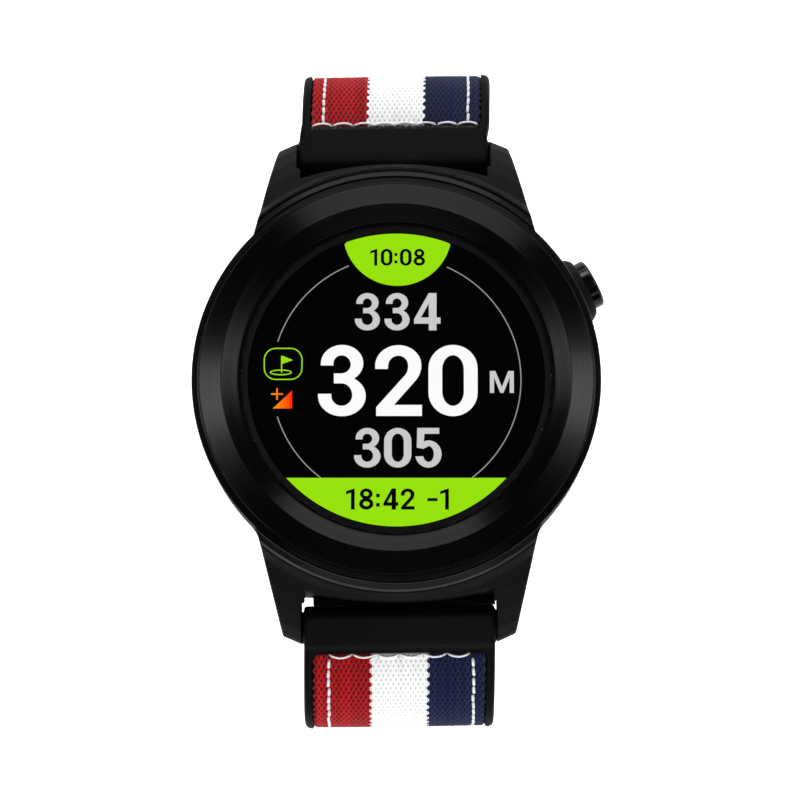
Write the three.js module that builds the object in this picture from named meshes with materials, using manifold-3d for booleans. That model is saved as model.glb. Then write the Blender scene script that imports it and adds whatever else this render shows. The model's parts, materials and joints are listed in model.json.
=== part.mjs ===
// Round golf watch with a pusher at two o'clock and a two-piece rubber and fabric strap.
// Millimetres, +Z up and out of the display, +Y towards twelve o'clock, +X towards three o'clock.
// The origin is the centre of the flat outer face of the back cover.
import * as THREE from 'three';
import { mergeVertices } from 'three/addons/utils/BufferGeometryUtils.js';
import Module from 'manifold-3d';

const wasm = await Module();
wasm.setup();

const { degToRad } = THREE.MathUtils;

// ---------------------------------------------------------------- driving dimensions

// case
const CASE_R = 22.9;          // outer radius of the case at three and nine o'clock
const CASE_TOP = 11.0;        // ledge that carries the bezel and the glass
const CASE_BOTTOM = 0.9;      // lower edge of the case wall
const CAVITY_R = 20.3;        // room for the board
const WINDOW_R = 16.9;        // opening around the display
const COLLAR_R = 24.9;        // case face between the lugs
const LUG_GAP = 22.2;         // clear width between two lugs
const LUG_TIP_Y = 28.95;
const BAR_Y = 26.7;           // spring bar axis
const BAR_Z = 2.6;

// bezel, glass and display
const BEZEL_IN_R = 17.75;
const BEZEL_RIDGE_R = 19.66;
const BEZEL_FACE_R = 21.92;
const BEZEL_RIM_R = 23.0;
const BEZEL_BOTTOM = 11.15;
const BEZEL_CHAMFER = 0.25;
const RIDGE_Z = 13.3;
const GLASS_R = 17.5;
const GLASS_TOP = 12.5;
const GLASS_T = 1.2;
const GLASS_CHAMFER = 0.15;
const DISPLAY_R = 16.7;

// back
const COVER_R = 19.9;
const COVER_T = 1.6;
const SCREW_PCR = 18.0;       // radius of the screw circle
const SCREW_ANGLES = [45, 135, 225, 315].map(degToRad);
const PIN_PITCH = 2.54;       // charging pins
const PIN_X = [-1.5, -0.5, 0.5, 1.5].map((k) => k * PIN_PITCH);
const PIN_Y = 11.8;
const GASKET_IN_R = 16.45;
const GASKET_OUT_R = 17.05;
const GASKET_GAP = 0.1;       // between the gasket and each wall of its groove

// pusher; heights are distances from the case axis
const BUTTON_ANGLE = degToRad(27);
const BUTTON_Z = 7.0;
const CAP_R = 2.8;
const CAP_FACE = 25.3;        // outer face of the cap
const GUARD_TOP = 24.0;
const ORING_GROOVE = [21.19, 21.76];

// strap; stations are distances from the spring bar along the outer face
const STRAP_W = 21.6;         // at the case
const STRAP_W_END = 20.0;     // from the keepers on
const STRAP_CHAMFER = 0.5;
const FABRIC_W = 19.4;
const UPPER_LEN = 72;         // spring bar to buckle bar
const LOWER_LEN = 117;        // spring bar to tail tip
const TUBE_R = 2.3;           // strap end around the spring bar
const BAR_BORE_R = 0.95;      // bore around the spring bar
const POCKET_DEPTH = 0.75;    // recess that holds the fabric
const POCKET_START = 3.4;
const UPPER_POCKET_END = 66.2;
const TIP_START = LOWER_LEN - 7; // where the tail begins to narrow
const LOWER_POCKET_END = LOWER_LEN - 6.8;
const HOLE_START = 52;
const HOLE_R = 1.25;
const HOLE_PITCH = 6.5;
const HOLES = 9;
const KEEPER_STARTS = { fixed_keeper: 59.5, free_keeper: 48.5 };
const KEEPER_LEN = 5;

// ---------------------------------------------------------------- helpers

// one indexed closed mesh: shared corners merged, slivers dropped, faces pointing out
function tidy(source) {
  let mesh = source.clone();
  for (const name of Object.keys(mesh.attributes)) {
    if (name !== 'position') mesh.deleteAttribute(name);
  }
  mesh.clearGroups();
  mesh = mergeVertices(mesh, 1e-4);
  const index = mesh.index.array;
  const keep = [];
  let volume = 0;
  for (let i = 0; i < index.length; i += 3) {
    const corners = [index[i], index[i + 1], index[i + 2]];
    if (new Set(corners).size < 3) continue;
    keep.push(...corners);
    const [p0, p1, p2] = corners.map((corner) =>
      new THREE.Vector3().fromBufferAttribute(mesh.attributes.position, corner));
    volume += p0.dot(p1.cross(p2));
  }
  if (volume < 0) {
    for (let i = 0; i < keep.length; i += 3) [keep[i], keep[i + 1]] = [keep[i + 1], keep[i]];
  }
  mesh.setIndex(keep);
  return mesh;
}

function toSolid(geometry) {
  const mesh = tidy(geometry);
  return new wasm.Manifold(new wasm.Mesh({
    numProp: 3,
    vertProperties: new Float32Array(mesh.attributes.position.array),
    triVerts: new Uint32Array(mesh.index.array),
  }));
}

function indexed(positions, index) {
  const geometry = new THREE.BufferGeometry();
  geometry.setAttribute('position', new THREE.Float32BufferAttribute(positions, 3));
  geometry.setIndex(index);
  return geometry;
}

function fromSolid(solid) {
  const { numVert, numProp, vertProperties, triVerts } = solid.getMesh();
  const positions = [];
  for (let i = 0; i < numVert; i++) {
    for (let k = 0; k < 3; k++) positions.push(vertProperties[i * numProp + k]);
  }
  return indexed(positions, Array.from(triVerts));
}

// booleans that take geometries and give a geometry back
const add = (first, ...rest) =>
  fromSolid(rest.reduce((sum, other) => sum.add(toSolid(other)), toSolid(first)));
const cut = (first, ...rest) =>
  fromSolid(rest.reduce((left, other) => left.subtract(toSolid(other)), toSolid(first)));
const common = (first, second) => fromSolid(toSolid(first).intersect(toSolid(second)));

// body of revolution about Z from [radius, height] pairs
function turn(profile, segments) {
  const points = profile.map(([x, y]) => new THREE.Vector2(x, y));
  const onAxis = profile[0][0] === 0 && profile.at(-1)[0] === 0;
  if (!onAxis) points.push(points[0].clone());
  return new THREE.LatheGeometry(points, segments).rotateX(Math.PI / 2);
}

// round bar and round tube between two heights
const rod = (radius, z0, z1, segments) =>
  turn([[0, z0], [radius, z0], [radius, z1], [0, z1]], segments);
const pipe = (inner, outer, z0, z1, segments) =>
  turn([[inner, z0], [outer, z0], [outer, z1], [inner, z1]], segments);

function box([x0, x1], [y0, y1], [z0, z1]) {
  return new THREE.BoxGeometry(x1 - x0, y1 - y0, z1 - z0)
    .translate((x0 + x1) / 2, (y0 + y1) / 2, (z0 + z1) / 2);
}

// outline in XY, pulled up along Z
function prism(points, z0, z1, holes = []) {
  const shape = new THREE.Shape(points.map(([x, y]) => new THREE.Vector2(x, y)));
  shape.holes.push(...holes);
  return new THREE.ExtrudeGeometry(shape, {
    depth: z1 - z0, steps: 1, curveSegments: 10, bevelEnabled: false,
  }).translate(0, 0, z0);
}

// outline in YZ, pulled along X from x0 to x1
const YZX = new THREE.Matrix4().makeBasis(
  new THREE.Vector3(0, 1, 0), new THREE.Vector3(0, 0, 1), new THREE.Vector3(1, 0, 0));
const across = (points, x0, x1, holes) => prism(points, x0, x1, holes).applyMatrix4(YZX);

// turns a body's own Z axis to +X
const alongX = (geometry) => geometry.rotateY(Math.PI / 2);

// skin over rings of equal length, with flat ends
function loft(rings) {
  const count = rings[0].length;
  const positions = rings.flat().flatMap((point) => point.toArray());
  const index = [];
  for (let k = 0; k + 1 < rings.length; k++) {
    for (let i = 0; i < count; i++) {
      const here = k * count + i;
      const next = k * count + (i + 1) % count;
      index.push(here, next, here + count, next, next + count, here + count);
    }
  }
  const last = (rings.length - 1) * count;
  for (let i = 1; i + 1 < count; i++) index.push(0, i + 1, i, last, last + i, last + i + 1);
  return indexed(positions, index);
}

// helix about Z
class Helix extends THREE.Curve {
  constructor(radius, z0, z1, turns) {
    super();
    Object.assign(this, { radius, z0, z1, turns });
  }

  getPoint(t, target = new THREE.Vector3()) {
    const angle = 2 * Math.PI * this.turns * t;
    return target.set(this.radius * Math.cos(angle), this.radius * Math.sin(angle),
      this.z0 + (this.z1 - this.z0) * t);
  }
}

// wire spring about Z; wire is the wire's radius, sides the corners of its section
function coil({ radius, wire, z0, z1, turns, perTurn, sides }) {
  const corners = Array.from({ length: sides }, (_, i) => {
    const angle = 2 * Math.PI * (i + 0.5) / sides;
    return new THREE.Vector2(wire * Math.cos(angle), wire * Math.sin(angle));
  });
  const section = new THREE.Shape(corners);
  section.closePath();
  return new THREE.ExtrudeGeometry(section, {
    steps: Math.round(turns * perTurn),
    bevelEnabled: false,
    extrudePath: new Helix(radius, z0 + wire, z1 - wire, turns),
  });
}

// piecewise linear value from [position, value] rows
function lerp(table, s) {
  for (let i = 0; i + 1 < table.length; i++) {
    const [s0, value0] = table[i];
    const [s1, value1] = table[i + 1];
    if (s <= s1) return value0 + (value1 - value0) * Math.max(0, s - s0) / (s1 - s0);
  }
  return table.at(-1)[1];
}

// ---------------------------------------------------------------- scene graph

// colour, roughness, metalness
const FINISH = {
  case: [0x141415, 0.55, 0.0],
  bezel: [0x17181a, 0.3, 0.9],
  glass: [0x0b0c0d, 0.05, 0.0],
  rubber: [0x131314, 0.7, 0.0],
  fabric: [0xb9202c, 0.9, 0.0],
  screen: [0x050505, 0.2, 0.0],
  steel: [0x9a9da1, 0.3, 1.0],
  gunmetal: [0x232427, 0.22, 1.0],
  gold: [0xc9a24b, 0.3, 1.0],
  board: [0x14442a, 0.6, 0.0],
  cell: [0xb8bcc0, 0.45, 0.3],
  foam: [0x2a2a2c, 0.95, 0.0],
  ceramic: [0xd8d2c2, 0.5, 0.0],
  film: [0xc07b2a, 0.5, 0.0],
  seal: [0x1c1c1d, 0.8, 0.0],
  cover: [0x18181a, 0.5, 0.0],
};

const watch = new THREE.Group();

function part(name, finish, geometry, parent = watch) {
  const [color, roughness, metalness] = FINISH[finish];
  const material = new THREE.MeshStandardMaterial({ color, roughness, metalness });
  const mesh = new THREE.Mesh(tidy(geometry), material);
  mesh.name = name;
  parent.add(mesh);
}

function groupAt(matrix, parent) {
  const group = new THREE.Group();
  matrix.decompose(group.position, group.quaternion, group.scale);
  group.updateMatrixWorld(true);
  parent.add(group);
  return group;
}

// the pusher's frame: Y is the watch's Z, Z runs out along the pusher from the case axis
const pusher = groupAt(new THREE.Matrix4().makeBasis(
  new THREE.Vector3(-Math.sin(BUTTON_ANGLE), Math.cos(BUTTON_ANGLE), 0),
  new THREE.Vector3(0, 0, 1),
  new THREE.Vector3(Math.cos(BUTTON_ANGLE), Math.sin(BUTTON_ANGLE), 0),
).setPosition(0, 0, BUTTON_Z), watch);
const atPusher = (geometry) => geometry.applyMatrix4(pusher.matrixWorld);

const atScrew = (geometry, angle) =>
  geometry.translate(SCREW_PCR * Math.cos(angle), SCREW_PCR * Math.sin(angle), 0);

// ---------------------------------------------------------------- mid case

// both lugs of one end and the face between them
function lugOutline() {
  const inner = LUG_GAP / 2;
  const innerY = Math.sqrt(COLLAR_R ** 2 - inner ** 2);
  const side = [
    [15.9, 16.5], [15.35, 18.6], [13.3, 27.5], [12.2, 28.5], [11.0, LUG_TIP_Y],
    [inner, innerY + 0.25],
  ];
  const start = Math.acos(inner / COLLAR_R);
  const steps = 12;
  const face = [];
  for (let i = 0; i <= steps; i++) {
    const angle = start + (Math.PI - 2 * start) * i / steps;
    face.push([COLLAR_R * Math.cos(angle), COLLAR_R * Math.sin(angle)]);
  }
  return [...side, ...face, ...side.map(([x, y]) => [-x, y]).reverse()];
}

// [radius, height] of the turned body that bounds the lugs
const LUG_ENVELOPE = [
  [0, 0.6], [20.0, 0.6], [24.0, 0.3], [28.5, 0.3], [31.2, 1.2], [31.2, 2.5], [30.8, 3.3],
  [29.9, 4.9], [28.3, 7.0], [26.6, 8.8], [24.9, 10.0], [24.06, 11.65], [23.78, 11.38],
  [23.74, 11.5], [23.15, 11.84], [23.15, CASE_TOP], [0, CASE_TOP],
];

function caseBody() {
  const band = turn([
    [0, CASE_BOTTOM], [21.3, CASE_BOTTOM], [22.4, 2.6], [CASE_R, 5.0],
    [CASE_R, CASE_TOP], [0, CASE_TOP]], 64);
  const lugs = common(prism(lugOutline(), 0, 12), turn(LUG_ENVELOPE, 48));
  const guard = atPusher(turn([
    [0, 20.8], [4.0, 20.8], [3.97, 22.9], [3.6, 23.6], [3.25, GUARD_TOP], [0, GUARD_TOP]], 24));
  return add(band, lugs, lugs.clone().rotateZ(Math.PI), guard);
}

function midCase() {
  const cavity = turn([
    [0, -1], [20.1, -1], [20.1, 1.9], [16.0, 1.9], [16.0, 3.2], [CAVITY_R, 3.2],
    [CAVITY_R, 10.0], [WINDOW_R, 10.0], [WINDOW_R, 12], [0, 12]], 48);
  const gasketGroove = pipe(GASKET_IN_R - GASKET_GAP, GASKET_OUT_R + GASKET_GAP, 1.5, 2.5, 32);
  // room for the strap between the lugs
  const bay = across([
    [23.5, -1], [34, -1], [34, 11.8], [25.6, 11.8], [25.2, 9.0], [24.3, 7.4], [23.5, 6.2],
  ], -LUG_GAP / 2, LUG_GAP / 2);
  const barSockets = [BAR_Y, -BAR_Y].flatMap((y) => [1, -1].map((side) =>
    rod(0.5, 10.6, 12.5, 12).rotateY(side * Math.PI / 2).translate(0, y, BAR_Z)));
  const pusherBore = atPusher(turn([
    [0, 19], [2.0, 19], [2.0, 22.7], [2.98, 22.7], [2.98, 25], [0, 25]], 24));
  return cut(caseBody(), cavity, gasketGroove, bay, bay.clone().rotateZ(Math.PI),
    ...barSockets, pusherBore,
    ...SCREW_ANGLES.map((angle) => atScrew(rod(0.7, 1.5, 3.6, 10), angle)));
}
part('mid_case', 'case', midCase());

// ---------------------------------------------------------------- bezel, glass, display

part('bezel_ring', 'bezel', turn([
  [BEZEL_IN_R, BEZEL_BOTTOM], [BEZEL_RIM_R - BEZEL_CHAMFER, BEZEL_BOTTOM],
  [BEZEL_RIM_R, BEZEL_BOTTOM + BEZEL_CHAMFER], [BEZEL_RIM_R, 11.78],
  [BEZEL_FACE_R, 12.6], [BEZEL_RIDGE_R, RIDGE_Z], [BEZEL_IN_R, GLASS_TOP]], 72));

const glassBottom = GLASS_TOP - GLASS_T;
part('lens_glass', 'glass', turn([
  [0, glassBottom], [GLASS_R - GLASS_CHAMFER, glassBottom],
  [GLASS_R, glassBottom + GLASS_CHAMFER], [GLASS_R, GLASS_TOP - GLASS_CHAMFER],
  [GLASS_R - GLASS_CHAMFER, GLASS_TOP], [0, GLASS_TOP]], 48));
part('lens_gasket', 'seal', pipe(16.95, 17.45, 11.04, 11.26, 36));
part('display_panel', 'screen', rod(DISPLAY_R, 10.35, 11.15, 48));

// flat ring on a skirt, open at six o'clock for the flex
part('display_frame', 'steel', cut(
  turn([
    [8, 9.5], [15.0, 9.5], [15.0, 6.15], [16.0, 6.15],
    [16.0, 9.5], [16.5, 9.5], [16.5, 10.15], [8, 10.15]], 32),
  box([-4.7, 4.7], [-18, -13.2], [5, 11])));
part('display_flex', 'film', across([
  [-16.1, 10.2], [-16.1, 6.12], [-12.6, 6.12],
  [-12.6, 6.32], [-15.9, 6.32], [-15.9, 10.2]], -4, 4));

// ---------------------------------------------------------------- electronics and power

// notches at twelve o'clock and for the pusher's clip
part('main_board', 'board', cut(
  rod(19.8, 5.2, 6.0, 32),
  box([-1.6, 1.6], [18.6, 21], [4, 7]),
  atPusher(box([-2.1, 2.1], [-2.6, 0], [19.15, 22]))));
part('shield_can', 'steel', box([-7, 7], [-8, 4], [6.1, 7.5]));
part('gps_antenna', 'ceramic', box([-4.5, 4.5], [5.6, 13.6], [6.1, 8.3]));
part('battery_cell', 'cell', prism([
  [-10.5, -8.7], [-9.7, -9.5], [9.7, -9.5], [10.5, -8.7],
  [10.5, 8.7], [9.7, 9.5], [-9.7, 9.5], [-10.5, 8.7]], 1.9, 4.7));
part('battery_pad', 'foam', box([-9.5, 9.5], [-8.5, 8.5], [4.78, 5.12]));
part('vibration_motor', 'steel', rod(2.9, 2.0, 4.6, 24).translate(0, -12.75, 0));

// ---------------------------------------------------------------- back

// [radius, height]
const SCREW_HOLE = [[0, -1], [1.35, -1], [1.35, 1.05], [0.75, 1.05], [0.75, 2.5], [0, 2.5]];
const SCREW = [
  [0, 0.5], [0.95, 0.5], [1.1, 0.65], [1.1, 0.98], [0.55, 0.98], [0.55, 3.0], [0, 3.0],
];
const CHARGE_PIN = [
  [0, 0.12], [0.6, 0.12], [0.75, 0.27], [0.75, 1.7], [1.05, 1.7],
  [1.05, 2.1], [0.5, 2.1], [0.5, 3.6], [0, 3.6],
];

part('back_cover', 'cover', cut(
  turn([
    [0, 0], [17.0, 0], [COVER_R - 0.3, 0.75], [COVER_R, 1.05],
    [COVER_R, COVER_T], [0, COVER_T]], 40),
  ...SCREW_ANGLES.map((angle) => atScrew(turn(SCREW_HOLE, 12), angle)),
  ...PIN_X.map((x) => rod(0.95, -1, 2.5, 10).translate(x, PIN_Y, 0))));
part('back_gasket', 'seal', pipe(GASKET_IN_R, GASKET_OUT_R, 1.72, 2.4, 32));
SCREW_ANGLES.forEach((angle, i) => {
  part(`back_screw_${i + 1}`, 'steel', atScrew(turn(SCREW, 12), angle));
});
PIN_X.forEach((x, i) => {
  part(`charge_pin_${i + 1}`, 'gold', turn(CHARGE_PIN, 10).translate(x, PIN_Y, 0));
});

// ---------------------------------------------------------------- pusher

// C-shaped clip, open towards the frame's +X
function buttonClip() {
  const halfGap = 0.5; // radians
  const outline = new THREE.Shape();
  outline.absarc(0, 0, 1.55, halfGap, 2 * Math.PI - halfGap, false);
  outline.absarc(0, 0, 0.68, 2 * Math.PI - halfGap, halfGap, true);
  outline.closePath();
  return new THREE.ExtrudeGeometry(outline, {
    depth: 0.28, bevelEnabled: false, curveSegments: 8,
  }).translate(0, 0, 19.87);
}

const [grooveIn, grooveOut] = ORING_GROOVE;
part('button_cap', 'gunmetal', turn([
  [0, 24.2], [2.0, 24.2], [2.0, 23.3], [CAP_R - 0.1, 23.3], [CAP_R, 23.4],
  [CAP_R, CAP_FACE - 0.35], [CAP_R - 0.35, CAP_FACE], [0, CAP_FACE]], 24), pusher);
part('button_stem', 'steel', turn([
  [0, 19.6], [0.9, 19.6], [0.9, 19.8], [0.6, 19.8],
  [0.6, 20.2], [0.9, 20.2], [0.9, 24.1], [0, 24.1]], 16), pusher);
part('button_collar', 'steel', turn([
  [1.0, 20.35], [1.9, 20.35], [1.9, 22.6], [1.0, 22.6],
  [1.0, grooveOut], [1.5, grooveOut], [1.5, grooveIn], [1.0, grooveIn]], 20), pusher);
part('button_oring', 'seal',
  new THREE.TorusGeometry(1.18, 0.21, 6, 14).translate(0, 0, (grooveIn + grooveOut) / 2), pusher);
part('button_clip', 'steel', buttonClip(), pusher);
part('button_spring', 'steel', coil({
  radius: 1.45, wire: 0.14, z0: 22.68, z1: 24.14, turns: 2.5, perTurn: 9, sides: 4,
}), pusher);
part('side_switch', 'steel', add(
  box([-2.1, 2.1], [-0.88, 0.9], [16.4, 18.4]), rod(0.8, 18.0, 19.0, 12)), pusher);

// ---------------------------------------------------------------- strap shape

// station, slope of the outer face in degrees below level
const SLOPE = [[0, 0], [3.5, 8], [8.4, 38], [12.8, 66], [15.4, 84], [17.6, 97], [42, 116]];
const slopeAt = (s) => degToRad(lerp(SLOPE, s));

const thickness = (s) => lerp([[0, 3.4], [6, 3.2], [16, 2.8], [40, 2.6]], s);
const halfWidth = (s) => lerp([[18, STRAP_W / 2], [42, STRAP_W_END / 2]], s);
const fabricHalf = (s) => lerp([[18, FABRIC_W / 2], [42, FABRIC_W / 2 - 0.8]], s);

// stations of the curved part next to the case
const SHOULDER = [
  0, 1.7, POCKET_START, 3.6, 5.2, 6.8, 8.4, 10, 11.6, 12.8, 14.2, 15.6, 17.2,
  20, 24, 28, 32, 37, 42,
];

// [y, z] of the outer face, one point per FACE_STEP of length
const FACE_STEP = 0.05;
const outerFace = [[BAR_Y, BAR_Z + TUBE_R]];
for (let i = 0; i < 2600; i++) {
  const [y, z] = outerFace[i];
  const slope = slopeAt((i + 0.5) * FACE_STEP);
  outerFace.push([y + Math.cos(slope) * FACE_STEP, z - Math.sin(slope) * FACE_STEP]);
}

// frame at a station: X across, Y on along the strap, Z out of its outer face;
// its origin lies the given depth below that face
function frameAt(s, depth) {
  const [y, z] = outerFace[Math.round(s / FACE_STEP)];
  const sin = Math.sin(slopeAt(s));
  const cos = Math.cos(slopeAt(s));
  return new THREE.Matrix4().makeBasis(
    new THREE.Vector3(1, 0, 0), new THREE.Vector3(0, cos, -sin), new THREE.Vector3(0, sin, cos),
  ).setPosition(0, y - sin * depth, z - cos * depth);
}

// one ring across the strap: half its width, from offset high down to offset low off the face
function ringAt(s, half, high, low, chamfer = 0) {
  const side = chamfer
    ? [[half - chamfer, high], [half, high - chamfer], [half, low + chamfer], [half - chamfer, low]]
    : [[half, high], [half, low]];
  const frame = frameAt(s, 0);
  return [...side, ...side.map(([x, z]) => [-x, z]).reverse()]
    .map(([x, z]) => new THREE.Vector3(x, 0, z).applyMatrix4(frame));
}

// body of a strap half, and the pocket and fabric in its outer face;
// the fabric stops one station short of the pocket at both ends
function strapSkins(stations, halfAt, pocketEnd) {
  const pocketed = stations.filter((s) => s >= POCKET_START && s <= pocketEnd);
  return {
    body: loft(stations.map((s) => ringAt(s, halfAt(s), 0, -thickness(s), STRAP_CHAMFER))),
    pocket: loft(pocketed.map((s) => ringAt(s, fabricHalf(s) + 0.2, 0.6, -POCKET_DEPTH))),
    fabric: loft(pocketed.slice(1, -1)
      .map((s) => ringAt(s, fabricHalf(s), -0.1, -POCKET_DEPTH + 0.15))),
  };
}

// round strap end and the bore through it, along X
const endTube = (radius, half) => alongX(turn([
  [0, -half], [radius - 0.35, -half], [radius, -half + 0.35],
  [radius, half - 0.35], [radius - 0.35, half], [0, half]], 18));
const endBore = (radius) => alongX(rod(radius, -14, 14, 12));
const atBar = (geometry) => geometry.translate(0, BAR_Y, BAR_Z);

function strapRubber({ body, pocket }, ends, cuts) {
  const leverSlot = atBar(box([5.9, 9.4], [-0.8, 0.8], [-3, 0]));
  return cut(
    add(body, atBar(endTube(TUBE_R, STRAP_W / 2)), ...ends),
    pocket, atBar(endBore(BAR_BORE_R)), leverSlot, ...cuts);
}

// in the strap's frame: sliding pin towards +X, fixed tip towards -X, lever towards -Z
function springBar(prefix, parent) {
  const barPart = (name, geometry) =>
    part(`${prefix}_${name}`, 'steel', atBar(geometry), parent);
  barPart('bar_tube', cut(
    alongX(pipe(0.52, 0.78, -10.6, 10.6, 12)),
    box([6.5, 9.2], [-0.5, 0.5], [-1.2, 0])));
  barPart('bar_tip', alongX(rod(0.42, -12.1, -8.5, 12)));
  barPart('release_pin', add(
    alongX(rod(0.42, 5.6, 12.1, 12)),
    rod(0.38, -2.45, -0.1, 10).translate(8.4, 0, 0)));
  barPart('bar_spring', alongX(coil({
    radius: 0.34, wire: 0.09, z0: -8.3, z1: 5.4, turns: 8, perTurn: 7, sides: 3,
  })));
}

// ---------------------------------------------------------------- twelve o'clock strap

const BUCKLE_BORE_R = 0.95;   // bore around the buckle bar in the frame and the tongue
const buckleBar = frameAt(UPPER_LEN, thickness(UPPER_LEN) / 2);

// loop around the strap with room above it for the tail
function keeper(start) {
  const end = start + KEEPER_LEN;
  return cut(
    loft([start, end].map((s) => ringAt(s, 11.65, 4.4, -4.1, 0.4))),
    loft([start - 1, end + 1].map((s) => ringAt(s, 10.35, 3.2, -2.9))));
}

// U-shaped plate, open towards the strap
function buckleFrame() {
  const [outer, inner, heel] = [12.9, 10.9, -1.3];
  const outline = new THREE.Shape();
  outline.moveTo(outer, heel);
  outline.lineTo(outer, 9.2);
  outline.quadraticCurveTo(outer, 11.4, 10.6, 11.4);
  outline.lineTo(-10.6, 11.4);
  outline.quadraticCurveTo(-outer, 11.4, -outer, 9.2);
  outline.lineTo(-outer, heel);
  outline.lineTo(-inner, heel);
  outline.lineTo(-inner, 8.0);
  outline.quadraticCurveTo(-inner, 8.9, -10.0, 8.9);
  outline.lineTo(10.0, 8.9);
  outline.quadraticCurveTo(inner, 8.9, inner, 8.0);
  outline.lineTo(inner, heel);
  outline.closePath();
  const bevel = 0.25;
  const plate = new THREE.ExtrudeGeometry(outline, {
    depth: 1.6, curveSegments: 5, bevelEnabled: true,
    bevelSize: bevel, bevelOffset: -bevel, bevelThickness: bevel, bevelSegments: 1,
  }).translate(0, 0, -1.1 + bevel);
  return cut(plate, endBore(BUCKLE_BORE_R));
}

// an eye around the bar and a finger out to the far side of the frame
function buckleTongue() {
  const outline = [];
  for (let i = 0; i <= 9; i++) {
    const angle = degToRad(100 + 240 * i / 9);
    outline.push([1.55 * Math.cos(angle), 1.55 * Math.sin(angle)]);
  }
  outline.push(
    [2.2, 0.7], [4.0, 1.15], [8.3, 1.4], [11.3, 1.4], [11.8, 1.8],
    [11.4, 2.3], [5.0, 2.4], [2.2, 2.15], [0.6, 1.7]);
  const eye = new THREE.Path().absarc(0, 0, BUCKLE_BORE_R, 0, 2 * Math.PI, true);
  return across(outline, -1.3, 1.3, [eye]);
}

function upperStrap(parent) {
  const stations = [...SHOULDER, 52, 62, 66, UPPER_POCKET_END, UPPER_LEN - 1];
  const skins = strapSkins(stations, halfWidth, UPPER_POCKET_END);
  const tongueSlot = box([-1.75, 1.75], [-4.3, 3], [-3, 3]);
  part('upper_strap_rubber', 'rubber', strapRubber(
    skins,
    [endTube(1.9, STRAP_W_END / 2).applyMatrix4(buckleBar)],
    [tongueSlot, endBore(0.98)].map((geometry) => geometry.applyMatrix4(buckleBar))), parent);
  part('upper_strap_fabric', 'fabric', skins.fabric, parent);
  springBar('upper', parent);
  for (const [name, start] of Object.entries(KEEPER_STARTS)) {
    part(name, 'rubber', keeper(start), parent);
  }

  const buckle = groupAt(buckleBar, parent);
  part('buckle_frame', 'gunmetal', buckleFrame(), buckle);
  part('buckle_bar', 'steel', alongX(rod(0.8, -12.6, 12.6, 12)), buckle);
  part('buckle_tongue', 'gunmetal', buckleTongue(), buckle);
}

// ---------------------------------------------------------------- six o'clock strap

// half width with the tail's rounded tip
function tailHalf(s) {
  const past = Math.max(0, s - TIP_START);
  return halfWidth(s) - 5.2 * (1 - Math.sqrt(1 - (past / 7.2) ** 2));
}

function lowerStrap(parent) {
  const stations = [
    ...SHOULDER, 52, 62, 72, 82, 92, 102, TIP_START, LOWER_POCKET_END,
    LOWER_LEN - 4, LOWER_LEN - 2, LOWER_LEN - 0.7, LOWER_LEN,
  ];
  const skins = strapSkins(stations, tailHalf, LOWER_POCKET_END);
  const holes = Array.from({ length: HOLES }, (_, i) =>
    rod(HOLE_R, -5, 5, 10).applyMatrix4(frameAt(HOLE_START + HOLE_PITCH * i, 0)));
  part('lower_strap_rubber', 'rubber', strapRubber(skins, [], holes), parent);
  part('lower_strap_fabric', 'fabric', cut(skins.fabric, ...holes), parent);
  springBar('lower', parent);
}

const upper = new THREE.Group();
const lower = new THREE.Group();
lower.rotation.z = Math.PI;
watch.add(upper, lower);
upperStrap(upper);
lowerStrap(lower);

export default watch;
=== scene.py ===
# Round sports watch on two striped straps, lying face up.
# The dial is centred on the Z axis: +Z rises out of the glass, +Y points to twelve o'clock and
# +X to three. Both straps leave the case along Y and curve down past it.
# Lengths are millimetres unless a comment says metres; meshes are scaled to metres when made.
import json
import math
from itertools import accumulate

import bpy
import numpy as np
from mathutils import Vector, Matrix

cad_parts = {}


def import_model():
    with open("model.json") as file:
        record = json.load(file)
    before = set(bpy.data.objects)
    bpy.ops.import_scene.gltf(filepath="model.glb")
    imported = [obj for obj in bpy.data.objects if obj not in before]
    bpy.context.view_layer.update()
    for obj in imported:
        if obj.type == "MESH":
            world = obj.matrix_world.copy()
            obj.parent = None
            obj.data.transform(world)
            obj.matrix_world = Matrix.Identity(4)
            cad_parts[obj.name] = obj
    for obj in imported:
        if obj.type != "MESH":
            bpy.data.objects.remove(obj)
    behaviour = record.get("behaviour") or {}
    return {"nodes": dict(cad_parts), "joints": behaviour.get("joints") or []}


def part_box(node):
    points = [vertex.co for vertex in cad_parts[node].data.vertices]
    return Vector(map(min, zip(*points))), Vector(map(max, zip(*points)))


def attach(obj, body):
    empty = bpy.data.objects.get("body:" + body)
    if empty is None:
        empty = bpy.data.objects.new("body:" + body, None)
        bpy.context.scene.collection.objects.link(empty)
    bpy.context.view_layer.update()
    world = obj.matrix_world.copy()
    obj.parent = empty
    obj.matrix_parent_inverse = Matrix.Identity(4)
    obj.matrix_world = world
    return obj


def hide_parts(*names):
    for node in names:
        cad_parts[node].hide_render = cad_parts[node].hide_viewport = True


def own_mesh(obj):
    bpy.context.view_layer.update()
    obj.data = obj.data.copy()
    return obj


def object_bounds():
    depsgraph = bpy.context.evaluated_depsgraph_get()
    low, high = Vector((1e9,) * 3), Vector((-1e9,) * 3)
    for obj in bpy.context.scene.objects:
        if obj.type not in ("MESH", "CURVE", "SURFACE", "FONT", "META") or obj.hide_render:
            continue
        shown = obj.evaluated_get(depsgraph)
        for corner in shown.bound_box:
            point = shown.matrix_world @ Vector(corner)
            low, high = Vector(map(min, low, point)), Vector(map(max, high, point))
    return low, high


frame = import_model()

cad_lo, cad_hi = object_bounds()
MM = 0.001
rng = np.random.default_rng(7)


# ------------------------------------------------------------------ driving places
def mm_box(node):
    low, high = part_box(node)
    return np.array(low) * 1000.0, np.array(high) * 1000.0


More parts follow.
